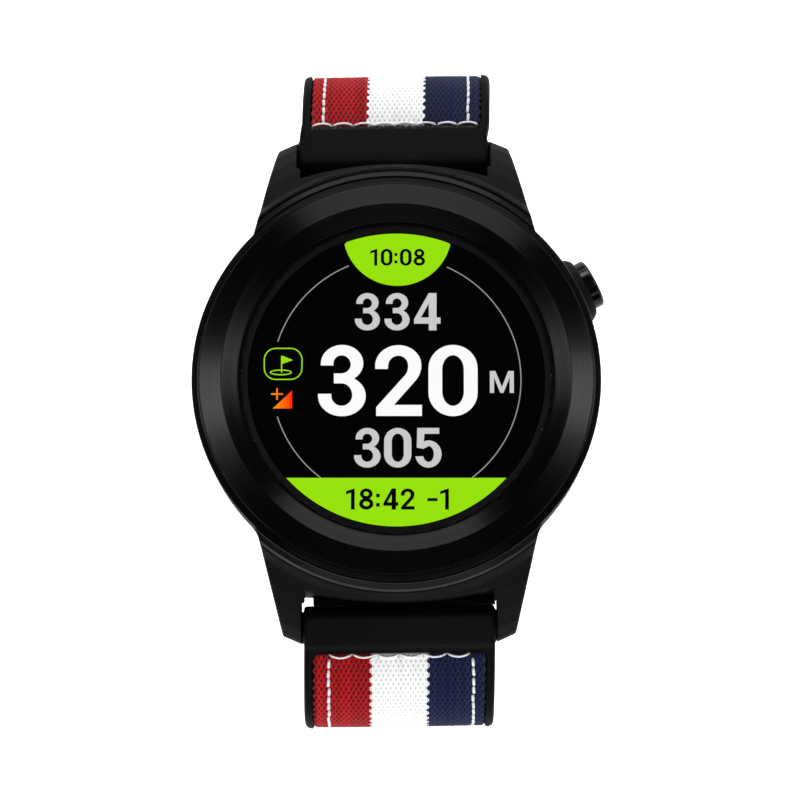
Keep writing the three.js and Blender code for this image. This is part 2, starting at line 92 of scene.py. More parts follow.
panel_lo, panel_hi = mm_box("display_panel")
bar_lo, bar_hi = mm_box("upper_bar_tube")
GLASS_TOP = float(mm_box("lens_glass")[1][2])
PANEL_BASE = panel_lo[2]
PANEL_TOP = float(panel_hi[2])
PANEL_RADIUS = float(panel_hi[0])
RIDGE_Z = float(mm_box("bezel_ring")[1][2])
BAR_Y = float(bar_lo[1] + bar_hi[1]) / 2
BAR_Z = float(bar_lo[2] + bar_hi[2]) / 2
BUCKLE_PIN = 1000.0 * np.array(
    next(joint["pos_m"] for joint in frame["joints"] if joint["name"] == "buckle_swing"))

DISPLAY_ROLL = math.radians(0.72)    # the marks and the camera are turned clockwise by this
BUTTON_ANGLE = math.radians(27)      # button axis, from +X towards +Y
BUTTON_COS, BUTTON_SIN = math.cos(BUTTON_ANGLE), math.sin(BUTTON_ANGLE)
BUTTON_Z = 7.0
SCREW_OFFSET = 12.728                # back screws, from the centre in both x and y


def cell_size(fine):
    return fine


# ------------------------------------------------------------------ mesh helpers
def add_object(name, data):
    ob = bpy.data.objects.new(name, data)
    bpy.context.scene.collection.objects.link(ob)
    return ob


def make_mesh(name, verts, faces, smooth=True, normals=None):
    """Object from vertices in mm and one array of quads or triangles, or a list of arrays."""
    mesh = bpy.data.meshes.new(name)
    verts = np.asarray(verts, np.float32) * MM
    if not isinstance(faces, list):
        faces = [faces]
    faces = [np.asarray(group, np.int32) for group in faces]
    loops = np.concatenate([group.ravel() for group in faces])
    sizes = np.concatenate([np.full(len(group), group.shape[1], np.int32) for group in faces])
    starts = np.concatenate([[0], np.cumsum(sizes)[:-1]]).astype(np.int32)
    mesh.vertices.add(len(verts))
    mesh.vertices.foreach_set("co", verts.ravel())
    mesh.loops.add(len(loops))
    mesh.loops.foreach_set("vertex_index", loops)
    mesh.polygons.add(len(sizes))
    mesh.polygons.foreach_set("loop_start", starts)
    mesh.update(calc_edges=True)
    changed = mesh.validate()
    mesh.polygons.foreach_set("use_smooth", np.full(len(mesh.polygons), bool(smooth)))
    # given normals only fit while validation has left every corner in place
    if normals is not None and not changed and len(normals) == len(mesh.loops):
        mesh.normals_split_custom_set(np.asarray(normals, np.float32).tolist())
    return add_object(name, mesh)


def listed_object(name, verts, faces):
    """Object from vertices in metres and faces with any number of sides."""
    mesh = bpy.data.meshes.new(name)
    mesh.from_pydata(verts.tolist(), [], faces)
    mesh.update()
    return add_object(name, mesh)


def hold_edges(profile, longer_than, gap):
    """Closed profile with a point added close to both ends of each long side, which keeps the
    shading of its corners tight. Sides and points on the axis are left out."""
    points = []
    for i, point in enumerate(profile):
        after = profile[(i + 1) % len(profile)]
        points.append(point)
        side = np.linalg.norm(after - point)
        if side > longer_than and not (point[0] < 1e-6 and after[0] < 1e-6):
            step = (after - point) * (gap / side)
            points += [v for v in (point + step, after - step) if v[0] > 0.02]
    return np.array(points)


def lathe(name, profile, segments, smooth=True, centre=(0, 0)):
    """Closed profile of (radius, z) turned about Z; points on the axis have radius 0."""
    profile = hold_edges([np.array(point, float) for point in profile], 0.25, 0.03)
    r, z = profile[:, 0], profile[:, 1]
    if 0.5 * np.sum(r * np.roll(z, -1) - np.roll(r, -1) * z) < 0:
        profile = profile[::-1]
    verts, index = [], []
    turn = 2 * math.pi * np.arange(segments) / segments
    for r, z in profile:
        if r < 1e-6:
            index.append(np.full(segments, len(verts)))
            verts.append((centre[0], centre[1], z))
        else:
            index.append(len(verts) + np.arange(segments))
            verts.extend(zip(centre[0] + r * np.cos(turn), centre[1] + r * np.sin(turn),
                             np.full(segments, z)))
    quads, tris = [], []
    for i in range(len(profile)):
        j = (i + 1) % len(profile)
        on_axis, next_on_axis = profile[i][0] < 1e-6, profile[j][0] < 1e-6
        if on_axis and next_on_axis:
            continue
        ring, next_ring = index[i], index[j]
        ring_on, next_on = np.roll(ring, -1), np.roll(next_ring, -1)
        if on_axis:
            tris.append(np.stack([ring, next_on, next_ring], 1)[:, ::-1])
        elif next_on_axis:
            tris.append(np.stack([ring, ring_on, next_ring], 1))
        else:
            quads.append(np.stack([ring, ring_on, next_on, next_ring], 1))
    faces = [np.concatenate(group) for group in (quads, tris) if group]
    return make_mesh(name, verts, faces, smooth)


def round_corners(rows, steps=3, closed=True):
    """Outline of rows (u, v, corner radius) with its corners as arcs; no radius means sharp."""
    points = [np.array(row[:2], float) for row in rows]
    count = len(points)
    out = []
    for i, point in enumerate(points):
        radius = rows[i][2] if len(rows[i]) > 2 else 0
        if not closed and i in (0, count - 1):
            out.append(point)
            continue
        back, ahead = points[i - 1] - point, points[(i + 1) % count] - point
        back_length, ahead_length = np.linalg.norm(back), np.linalg.norm(ahead)
        back, ahead = back / back_length, ahead / ahead_length
        angle = math.acos(float(np.clip(back @ ahead, -1, 1)))
        if radius <= 0 or angle > math.radians(176):
            out.append(point)
            continue
        # the arc takes no more than 0.45 of either side
        reach = min(radius / math.tan(angle / 2), 0.45 * back_length, 0.45 * ahead_length)
        fitted = reach * math.tan(angle / 2)
        halfway = (back + ahead) / np.linalg.norm(back + ahead)
        centre = point + halfway * (fitted / math.sin(angle / 2))
        first, last = point + back * reach - centre, point + ahead * reach - centre
        start = math.atan2(first[1], first[0])
        end = math.atan2(last[1], last[0])
        sweep = (end - start + math.pi) % (2 * math.pi) - math.pi
        for k in range(steps + 1):
            turn = start + sweep * k / steps
            out.append(centre + fitted * np.array([math.cos(turn), math.sin(turn)]))
    return np.array(out)


# ------------------------------------------------------------------ distance fields
def outline_distance(u, v, points):
    """Signed distance to a closed outline, negative inside."""
    nearest = np.full(u.shape, 1e9)
    inside = np.zeros(u.shape, bool)
    for i in range(len(points)):
        au, av = points[i]
        bu, bv = points[(i + 1) % len(points)]
        eu, ev = bu - au, bv - av
        squared = eu * eu + ev * ev
        if squared < 1e-12:
            continue
        wu, wv = u - au, v - av
        t = np.clip((wu * eu + wv * ev) / squared, 0, 1)
        nearest = np.minimum(nearest, (wu - eu * t) ** 2 + (wv - ev * t) ** 2)
        above, below, left = v >= av, v < bv, eu * wv > ev * wu
        inside ^= (above & below & left) | (~above & ~below & ~left)
    return np.where(inside, -1.0, 1.0) * np.sqrt(nearest)


class OutlineField:
    """Distance to a rounded outline, tabulated and read back with linear interpolation."""

    def __init__(self, rows, low, high, step=0.05, arc_steps=3):
        self.low, self.step = low, step
        self.count = [int(math.ceil((high[i] - low[i]) / step)) + 1 for i in (0, 1)]
        grid = np.meshgrid(*(low[i] + step * np.arange(self.count[i]) for i in (0, 1)),
                           indexing="ij")
        points = round_corners(rows, arc_steps)
        self.table = outline_distance(*grid, points).astype(np.float32)

    def __call__(self, u, v):
        a = np.clip((u - self.low[0]) / self.step, 0, self.count[0] - 1.001)
        b = np.clip((v - self.low[1]) / self.step, 0, self.count[1] - 1.001)
        i, j = a.astype(np.int32), b.astype(np.int32)
        a, b = (a - i).astype(np.float32), (b - j).astype(np.float32)
        f = self.table
        return ((f[i, j] * (1 - a) + f[i + 1, j] * a) * (1 - b)
                + (f[i, j + 1] * (1 - a) + f[i + 1, j + 1] * a) * b)


def soft_min(a, b, blend):
    """Union of two fields with a fillet of about the blend size."""
    h = np.clip(0.5 + 0.5 * (b - a) / blend, 0, 1)
    return b * (1 - h) + a * h - blend * h * (1 - h)


def soft_max(a, b, blend):
    """Intersection of two fields with a rounded edge; with -b it cuts b out of a."""
    return -soft_min(-a, -b, blend)


def span(u, v):
    return np.sqrt(u * u + v * v)


def rounded_box(u, v, radius):
    """Distance to a rounded rectangle; u and v are the distances beyond its sides."""
    u, v = u + radius, v + radius
    return (np.sqrt(np.maximum(u, 0) ** 2 + np.maximum(v, 0) ** 2)
            + np.minimum(np.maximum(u, v), 0) - radius)


def unit_gradient(field, points, step):
    slope = np.empty_like(points)
    for i in range(3):
        moved = points.copy()
        moved[:, i] += step
        ahead = field(moved[:, 0], moved[:, 1], moved[:, 2])
        moved[:, i] -= 2 * step
        slope[:, i] = (ahead - field(moved[:, 0], moved[:, 1], moved[:, 2])) / (2 * step)
    return slope / np.maximum(np.linalg.norm(slope, axis=1), 1e-9)[:, None]


def contour(field, low, high, cell):
    """Dual contouring: points, quads and one normal per face corner. Creases stay crisp."""
    low, high = np.array(low, float), np.array(high, float)
    cell = np.array(cell, float) * np.ones(3)
    count = np.ceil((high - low) / cell).astype(int) + 1
    ticks = [low[i] + cell[i] * np.arange(count[i]) for i in range(3)]
    values = np.empty(count, np.float32)
    slab = max(1, int(400000 / (count[1] * count[2])))     # keeps the memory in bounds
    for i in range(0, count[0], slab):
        grid = np.meshgrid(ticks[0][i:i + slab], ticks[1], ticks[2], indexing="ij")
        values[i:i + slab] = field(*grid)
    inside = values < 0
    cells = count - 1
    total = int(np.prod(cells))
    # sums per cell: 6 products of normals, 3 of normal by plane offset, 3 of place, the count
    sums = np.zeros((13, total))
    quads = []
    for axis in range(3):
        order = [axis] + [i for i in range(3) if i != axis]
        along, along_in = np.moveaxis(values, axis, 0), np.moveaxis(inside, axis, 0)
        crossing = along_in[:-1] != along_in[1:]
        index = np.argwhere(crossing)
        f0, f1 = along[:-1][crossing], along[1:][crossing]
        starts_in = along_in[:-1][crossing]
        place = index.astype(float)
        place[:, 0] += f0 / (f0 - f1)
        t0 = place[:, 0] - index[:, 0]
        grid_place, base = np.empty_like(place), np.empty_like(index)
        grid_place[:, order], base[:, order] = place, index
        points = grid_place * cell + low
        # a second, closer reading of the crossing
        step = np.zeros(3)
        step[axis] = cell[axis]
        middle = field(points[:, 0], points[:, 1], points[:, 2])
        like_start = (middle < 0) == (f0 < 0)
        ta = np.where(like_start, t0, 0.0)
        tb = np.where(like_start, 1.0, t0)
        fa = np.where(like_start, middle, f0)
        fb = np.where(like_start, f1, middle)
        fall = fa - fb
        usable = np.abs(fall) > 1e-9
        t = ta + (tb - ta) * np.where(usable, fa / np.where(usable, fall, 1), 0.5)
        points += (np.clip(t, 0, 1) - t0)[:, None] * step
        normal = unit_gradient(field, points, 0.012)
        offset = (normal * points).sum(1)
        terms = [normal[:, i] * normal[:, j] for i in range(3) for j in range(i, 3)]
        terms += [normal[:, i] * offset for i in range(3)]
        terms += [points[:, i] for i in range(3)]
        terms.append(np.ones(len(points)))
        corners, whole = [], np.ones(len(base), bool)
        for d1, d2 in ((1, 1), (0, 1), (0, 0), (1, 0)):
            c = base.copy()
            c[:, order[1]] -= d1
            c[:, order[2]] -= d2
            ok = np.all((c >= 0) & (c < cells), axis=1)
            c = np.clip(c, 0, cells - 1)
            flat = (c[:, 0] * cells[1] + c[:, 1]) * cells[2] + c[:, 2]
            corners.append(flat)
            whole &= ok
            for k in range(13):
                sums[k] += np.bincount(flat[ok], weights=terms[k][ok], minlength=total)
        quad = np.stack(corners, 1)[whole]
        flip = ~starts_in[whole] if axis != 1 else starts_in[whole]
        quad[flip] = quad[flip][:, ::-1]
        quads.append(quad)
    quads = np.concatenate(quads)
    used = np.unique(quads)
    remap = np.full(total, -1, np.int64)
    remap[used] = np.arange(len(used))
    quads = remap[quads]
    sums = sums[:, used]
    mean = (sums[9:12] / sums[12]).T
    matrix = sums[[0, 1, 2, 1, 3, 4, 2, 4, 5]].T.reshape(-1, 3, 3)
    target = sums[6:9].T - np.einsum("nij,nj->ni", matrix, mean)
    # a light pull to the mean crossing keeps flat cells stable
    matrix = matrix + (0.04 * sums[12])[:, None, None] * np.eye(3)
    shift = np.linalg.solve(matrix, target[:, :, None])[:, :, 0]
    points = mean + np.clip(shift, -0.9 * cell, 0.9 * cell)
    # normals are read a little way in from each corner, so both sides of a crease stay clean
    normals = np.empty((len(quads), 4, 3))
    batch = 60000
    for i in range(0, len(quads), batch):
        corner = points[quads[i:i + batch]]
        centre = corner.mean(1, keepdims=True)
        probe = (corner + 0.3 * (centre - corner)).reshape(-1, 3)
        normals[i:i + batch] = unit_gradient(field, probe, 0.015).reshape(-1, 4, 3)
    return points, quads, normals.reshape(-1, 3)


def field_object(name, field, low, high, cell, placing=None):
    """Surface of a field; placing moves the points and normals out of a local frame."""
    points, quads, normals = contour(field, low, high, cell)
    if placing:
        points, normals = placing(points, normals, points[quads.ravel()])
    return make_mesh(name, points, quads, normals=normals)


# ------------------------------------------------------------------ material helpers
class Mat:
    """Short-hand for a node material around one Principled shader."""

    INPUTS = {"color": "Base Color", "rough": "Roughness", "metal": "Metallic",
              "normal": "Normal", "spec": "Specular IOR Level", "sheen": "Sheen Weight",
              "alpha": "Alpha", "glow": "Emission Color", "glow_strength": "Emission Strength",
              "anisotropy": "Anisotropic", "anisotropy_turn": "Anisotropic Rotation",
              "tangent": "Tangent"}

    def __init__(self, name):
        self.material = bpy.data.materials.new(name)
        self.material.use_nodes = True
        self.tree = self.material.node_tree
        self.shader = self.tree.nodes["Principled BSDF"]

    def node(self, kind, attributes=None, **inputs):
        node = self.tree.nodes.new(kind)
        for key, value in (attributes or {}).items():
            setattr(node, key, value)
        for key, value in inputs.items():
            node.inputs[key].default_value = value
        return node

    def link(self, output, socket):
        self.tree.links.new(output, socket)

    def feed(self, socket, value):
        """Give a socket a number, a colour or a link."""
        if isinstance(value, (int, float)):
            socket.default_value = value
        elif isinstance(value, (tuple, list)):
            socket.default_value = (*value[:3], 1.0)
        else:
            self.link(value, socket)

    def math(self, operation, *values):
        node = self.node("ShaderNodeMath", {"operation": operation})
        for socket, value in zip(node.inputs, values):
            self.feed(socket, value)
        return node.outputs[0]

    def mix(self, factor, a, b, blend="MIX"):
        node = self.node("ShaderNodeMix", {"data_type": "RGBA", "blend_type": blend})
        for i, value in ((0, factor), (6, a), (7, b)):
            self.feed(node.inputs[i], value)
        return node.outputs[2]

    def coords(self):
        return self.node("ShaderNodeTexCoord").outputs["Object"]

    def axes(self):
        """x, y and z of the object coordinates, in metres."""
        node = self.node("ShaderNodeSeparateXYZ")
        self.link(self.coords(), node.inputs[0])
        return node.outputs

    def noise(self, scale, detail=3.0, rough=0.5, vector=None):
        node = self.node("ShaderNodeTexNoise", Scale=scale, Detail=detail, Roughness=rough)
        self.link(self.coords() if vector is None else vector, node.inputs["Vector"])
        return node.outputs["Fac"]

    def line_noise(self, place, detail):
        node = self.node("ShaderNodeTexNoise", {"noise_dimensions": "1D"},
                         Scale=1.0, Detail=detail)
        self.link(place, node.inputs["W"])
        return node.outputs["Fac"]

    def attribute(self, name):
        return self.node("ShaderNodeAttribute", {"attribute_name": name}).outputs["Fac"]

    def ramp(self, factor, stops):
        """Stops are (position, colour or grey level)."""
        node = self.node("ShaderNodeValToRGB")
        color_ramp = node.color_ramp
        while len(color_ramp.elements) < len(stops):
            color_ramp.elements.new(0.5)
        for element, (position, c) in zip(color_ramp.elements, stops):
            element.position = position
            element.color = (*c[:3], 1.0) if isinstance(c, (tuple, list)) else (c, c, c, 1.0)
        self.link(factor, node.inputs[0])
        return node.outputs[0]

    def range(self, factor, low, high):
        node = self.node("ShaderNodeMapRange", **{"To Min": low, "To Max": high})
        self.link(factor, node.inputs["Value"])
        return node.outputs[0]

    def bump(self, height, strength, distance):
        """Distance in metres."""
        node = self.node("ShaderNodeBump", Strength=strength, Distance=distance)
        self.link(height, node.inputs["Height"])
        return node.outputs[0]

    def set(self, **values):
        for key, value in values.items():
            self.feed(self.shader.inputs[self.INPUTS[key]], value)


def srgb(*levels):
    """Linear colour from 8-bit display levels."""
    return tuple(((c / 255 + 0.055) / 1.055) ** 2.4 if c > 10 else c / 255 / 12.92
                 for c in levels)


def grained(name, dark, light, rough, grain, bump, patch=60.0, **extra):
    """Moulded surface: fine grain in the relief, slow change in tone and gloss."""
    m = Mat(name)
    slow = m.noise(scale=patch, detail=4.0)
    fine = m.noise(scale=grain, detail=2.0)
    both = m.math("ADD", m.math("MULTIPLY", slow, 0.7), m.math("MULTIPLY", fine, 0.3))
    m.set(color=m.ramp(both, [(0.3, dark), (0.7, light)]), rough=m.range(slow, *rough),
          normal=m.bump(fine, strength=bump, distance=0.00004), **extra)
    return m


def drawn_metal(name, dark, light, rough, stretch, scale, bump=0.08):
    """Metal with fine drawn lines; a small stretch factor lengthens them along that axis."""
    m = Mat(name)
    mapping = m.node("ShaderNodeMapping", Scale=stretch)
    m.link(m.coords(), mapping.inputs["Vector"])
    lines = m.noise(scale=scale, detail=4.0, rough=0.6, vector=mapping.outputs[0])
    m.set(color=m.ramp(lines, [(0.3, dark), (0.7, light)]), metal=1.0,
          rough=m.range(lines, *rough), normal=m.bump(lines, strength=bump, distance=0.00002))
    return m


def dress(ob, mat, body, *nodes, slot=None):
    """Give an object its material, hang it on its body and hide the frame pieces that it
    replaces.
    """
    ob.data.materials.clear()
    ob.data.materials.append(mat.material)
    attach(ob, body)
    if nodes:
        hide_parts(*nodes)
    return ob


# ------------------------------------------------------------------ materials
def rubber_material():
    """Strap rubber with a painted highlight: a paler line across it on the six o'clock side."""
    line_y, line_half = 0.02955, 0.00042       # metres; the line lies at y = -line_y
    m = grained("strap_rubber", dark=(0.0022, 0.0022, 0.0023), light=(0.0046, 0.0046, 0.0047),
                rough=(0.50, 0.62), grain=4200, bump=0.9, spec=0.06)
    # painted highlight: the colour rises to a paler grey on a thin line across the strap
    away = m.math("ABSOLUTE", m.math("ADD", m.axes()[1], line_y))
    painted_highlight = m.math("MAXIMUM", m.math("SUBTRACT", 1.0, m.math("DIVIDE", away, line_half)), 0.0)
    base = m.shader.inputs["Base Color"].links[0].from_socket
    m.set(color=m.mix(m.math("MULTIPLY", painted_highlight, 0.8), base, (0.0105, 0.0105, 0.0105)))
    return m


def turned_metal(name, tone=1.0):
    """Black metal turned on a lathe: grooves run round Z, so the gloss stretches across."""
    dark, light = (0.0105, 0.0103, 0.0105), (0.0165, 0.0160, 0.0163)
    m = Mat(name)
    x, y, _ = m.axes()
    radius = m.math("SQRT", m.math("ADD", m.math("MULTIPLY", x, x), m.math("MULTIPLY", y, y)))
    grooves = m.line_noise(m.math("MULTIPLY", radius, 9000.0), detail=3.0)
    wide = m.line_noise(m.math("MULTIPLY", radius, 1500.0), detail=2.0)
    both = m.math("ADD", m.math("MULTIPLY", grooves, 0.6), m.math("MULTIPLY", wide, 0.4))
    tangent = m.node("ShaderNodeTangent", {"direction_type": "RADIAL", "axis": "Z"})
    m.set(color=m.ramp(both, [(0.3, tuple(c * tone for c in dark)),
                              (0.7, tuple(c * tone for c in light))]),
          metal=1.0, rough=m.range(both, 0.22, 0.32),
          normal=m.bump(both, strength=0.16, distance=0.00002),
          anisotropy=0.8, anisotropy_turn=0.25, tangent=tangent.outputs[0])
    return m


def glass_material():
    """Coated cover glass: nearly clear, with a weak reflection of its own."""
    m = Mat("cover_glass")
    smear = m.noise(scale=180.0, detail=3.0)
    m.set(color=m.ramp(smear, [(0.0, 0.0), (1.0, 0.002)]), rough=m.range(smear, 0.02, 0.05),
          spec=0.5, alpha=m.range(smear, 0.055, 0.065))
    return m


def panel_material():
    m = Mat("display_black")
    cloud = m.noise(scale=30.0, detail=2.0)
    m.set(color=m.ramp(cloud, [(0.0, 0.0001), (1.0, 0.0002)]), rough=0.6, spec=0.01)
    return m


def lit(name, colour, strength=1.0, second=None, ends=None):
    """Lit part of the display with the faint grid of its cells. With a second colour it
    changes from one to the other between the two x places in ends."""
    cell_wave = math.pi / 0.000073             # one cell each 0.073 mm
    m = Mat(name)
    x, y, _ = m.axes()
    cell_x = m.math("ABSOLUTE", m.math("SINE", m.math("MULTIPLY", x, cell_wave)))
    cell_y = m.math("ABSOLUTE", m.math("SINE", m.math("MULTIPLY", y, cell_wave)))
    grid = m.range(m.math("MULTIPLY", cell_x, cell_y), 1.08, 1.16)
    if second is None:
        glow = m.mix(0.0, colour, colour)
    else:
        across = m.node("ShaderNodeMapRange",
                        **{"From Min": ends[0] * MM, "From Max": ends[1] * MM})
        m.link(x, across.inputs["Value"])
        glow = m.mix(across.outputs[0], colour, second)
    m.set(color=(0.0, 0.0, 0.0), rough=0.3, spec=0.0, glow=glow,
          glow_strength=m.math("MULTIPLY", grid, strength))
    return m


def fabric_material():
    """Three stripes and a binding, picked by the attributes that the weave carries."""
    m = Mat("striped_fabric")
    stripe, rise, yarn = m.attribute("stripe"), m.attribute("rise"), m.attribute("yarn")
    red = m.mix(yarn, srgb(142, 6, 14), srgb(208, 24, 34))
    white = m.mix(yarn, srgb(236, 237, 240), srgb(254, 254, 254))
    navy = m.mix(yarn, srgb(12, 17, 46), srgb(32, 42, 88))
    # binding colour: dark yarn tone, its paler end painted glints
    bound = m.mix(yarn, srgb(16, 15, 16), srgb(62, 60, 62))
    colour = m.mix(m.math("GREATER_THAN", stripe, 0.5), red, white)
    colour = m.mix(m.math("GREATER_THAN", stripe, 1.5), colour, navy)
    colour = m.mix(m.math("GREATER_THAN", stripe, 2.5), colour, bound)
    # hollows between yarns get painted shade in the colour, deeper on the dark colours
    deep = m.ramp(rise, [(0.0, 0.02), (0.30, 0.26), (0.58, 0.78), (1.0, 1.0)])
    pale = m.ramp(rise, [(0.0, 0.26), (0.20, 0.66), (0.42, 0.96), (1.0, 1.0)])
    is_white = m.math("MULTIPLY", m.math("GREATER_THAN", stripe, 0.5),
                      m.math("LESS_THAN", stripe, 1.5))
    shaded = m.mix(1.0, colour, m.mix(is_white, deep, pale), blend="MULTIPLY")
    fine = m.noise(scale=9000.0, detail=2.0)
    m.set(color=shaded, rough=0.86, sheen=0.12, spec=0.15,
          normal=m.bump(fine, strength=0.25, distance=0.00004))
    return m


def thread_material():
    m = Mat("stitch_thread")
    fibre = m.noise(scale=6000.0, detail=3.0)
    m.set(color=m.ramp(fibre, [(0.25, srgb(214, 214, 216)), (0.7, srgb(250, 250, 250))]),
          rough=0.8, sheen=0.2, spec=0.2,
          normal=m.bump(fibre, strength=0.5, distance=0.00006))
    return m


def binding_material():
    m = Mat("binding_thread")
    fibre = m.noise(scale=2600.0, detail=3.0)
    # dark fibre tone of the thread, with pale flecks that are painted glints
    m.set(color=m.ramp(fibre, [(0.35, srgb(14, 13, 14)), (0.62, srgb(46, 44, 46)),
                               (0.8, srgb(120, 118, 120))]),
          rough=0.6, spec=0.3, normal=m.bump(fibre, strength=0.6, distance=0.00006))
    return m


MATS = {
    "case": grained("case_plastic", dark=(0.0026, 0.0026, 0.0027),
                    light=(0.0062, 0.0062, 0.0064), rough=(0.45, 0.55), grain=4600, bump=1.0,
                    spec=0.05),
    "rubber": rubber_material(),
    "back": grained("back_plastic", dark=(0.010, 0.010, 0.011), light=(0.014, 0.014, 0.015),
                    rough=(0.3, 0.4), grain=9000, bump=0.12),
    "seal": grained("seal_rubber", dark=(0.012, 0.012, 0.012), light=(0.02, 0.02, 0.02),
                    rough=(0.6, 0.75), grain=4000, bump=0.3),
    "steel": drawn_metal("plain_steel", dark=(0.42, 0.42, 0.43), light=(0.62, 0.62, 0.63),
                         rough=(0.22, 0.36), stretch=(0.06, 1, 1), scale=1500),
    "screw": drawn_metal("screw_steel", dark=(0.10, 0.10, 0.105), light=(0.18, 0.18, 0.185),
                         rough=(0.25, 0.4), stretch=(1, 1, 0.2), scale=1500),
    "gold": drawn_metal("contact_gold", dark=(0.72, 0.47, 0.15), light=(0.86, 0.6, 0.24),
                        rough=(0.18, 0.3), stretch=(1, 1, 0.2), scale=2500),
    "button": drawn_metal("button_metal", dark=(0.020, 0.020, 0.022),
                          light=(0.034, 0.034, 0.037), rough=(0.12, 0.2), stretch=(1, 1, 1),
                          scale=1200, bump=0.03),
    "buckle": drawn_metal("buckle_metal", dark=(0.022, 0.022, 0.024),
                          light=(0.042, 0.042, 0.045), rough=(0.24, 0.36),
                          stretch=(0.05, 1, 1), scale=1400, bump=0.1),
    "board": grained("circuit_board", dark=(0.008, 0.06, 0.022), light=(0.02, 0.11, 0.04),
                     rough=(0.3, 0.45), grain=1500, bump=0.3, patch=900),
    "film": grained("flex_film", dark=(0.35, 0.14, 0.02), light=(0.5, 0.24, 0.05),
                    rough=(0.25, 0.4), grain=2500, bump=0.1, patch=500),
    "ceramic": grained("ceramic_block", dark=(0.55, 0.5, 0.4), light=(0.7, 0.65, 0.55),
                       rough=(0.5, 0.7), grain=2500, bump=0.2, patch=400),
    "foil": drawn_metal("battery_foil", dark=(0.5, 0.51, 0.53), light=(0.66, 0.67, 0.69),
                        rough=(0.25, 0.45), stretch=(1, 1, 1), scale=300, bump=0.4),
    "bezel": turned_metal("bezel_metal"),
    "collar": turned_metal("collar_metal", tone=1.6),
    "glass": glass_material(),
    "panel": panel_material(),
    "print": grained("border_print", dark=(0.0068, 0.0068, 0.0070),
                     light=(0.0080, 0.0080, 0.0083), rough=(0.5, 0.6), grain=9000, bump=0.05,
                     spec=0.04),
    "fabric": fabric_material(),
    "thread": thread_material(),
    "binding": binding_material(),
}


# ------------------------------------------------------------------ mid case
# Section outlines, rows of (radius from Z, z, corner radius) unless noted
CASE_WALL = [(-5, 0.9, 0), (21.3, 0.9, 0.5), (22.4, 2.6, 1.5), (22.9, 5.0, 2.5),
             (22.9, 11.0, 0.25), (-5, 11.0, 0)]
LUG_SECTION = [(-5, 0.6, 0), (20.0, 0.6, 1), (24.0, 0.3, 2), (28.5, 0.3, 1), (31.1, 1.3, 0.6),
               (31.1, 2.6, 0.6), (30.6, 3.6, 1.5), (29.8, 5.1, 2), (28.3, 7.05, 3),
               (26.6, 8.8, 3), (24.9, 10.05, 0.3), (24.12, 11.70, 0.08), (24.0, 11.36, 0.05),
               (-5, 11.36, 0)]
CASE_CAVITY = [(-5, -3), (20.1, -3), (20.1, 1.9), (16.0, 1.9), (16.0, 3.2), (20.3, 3.2),
               (20.3, 10.0), (16.9, 10.0), (16.9, 14), (-5, 14)]
# rows of (|x|, |y|, corner radius)
LUG_PLAN = [(10.6, 10.0, 0), (15, 10.0, 0), (17.0, 12.5, 0), (15.4, 18.6, 4),
            (13.22, 27.95, 0.4), (10.6, 29.1, 0)]
# rows of (|y|, z, corner radius)
STRAP_BAY = [(23.5, -3, 0), (36, -3, 0), (36, 11.9, 0), (25.7, 11.9, 0), (25.3, 9.0, 1),
             (24.3, 7.4, 1), (23.5, 6.2, 1)]
# rows of (distance from the button axis, place along it, corner radius)
BUTTON_GUARD = [(-5, 18.5, 0), (4.05, 18.5, 0), (4.0, 22.9, 0.5), (3.62, 23.6, 0.4),
                (3.27, 24.0, 0.12), (-5, 24.0, 0)]


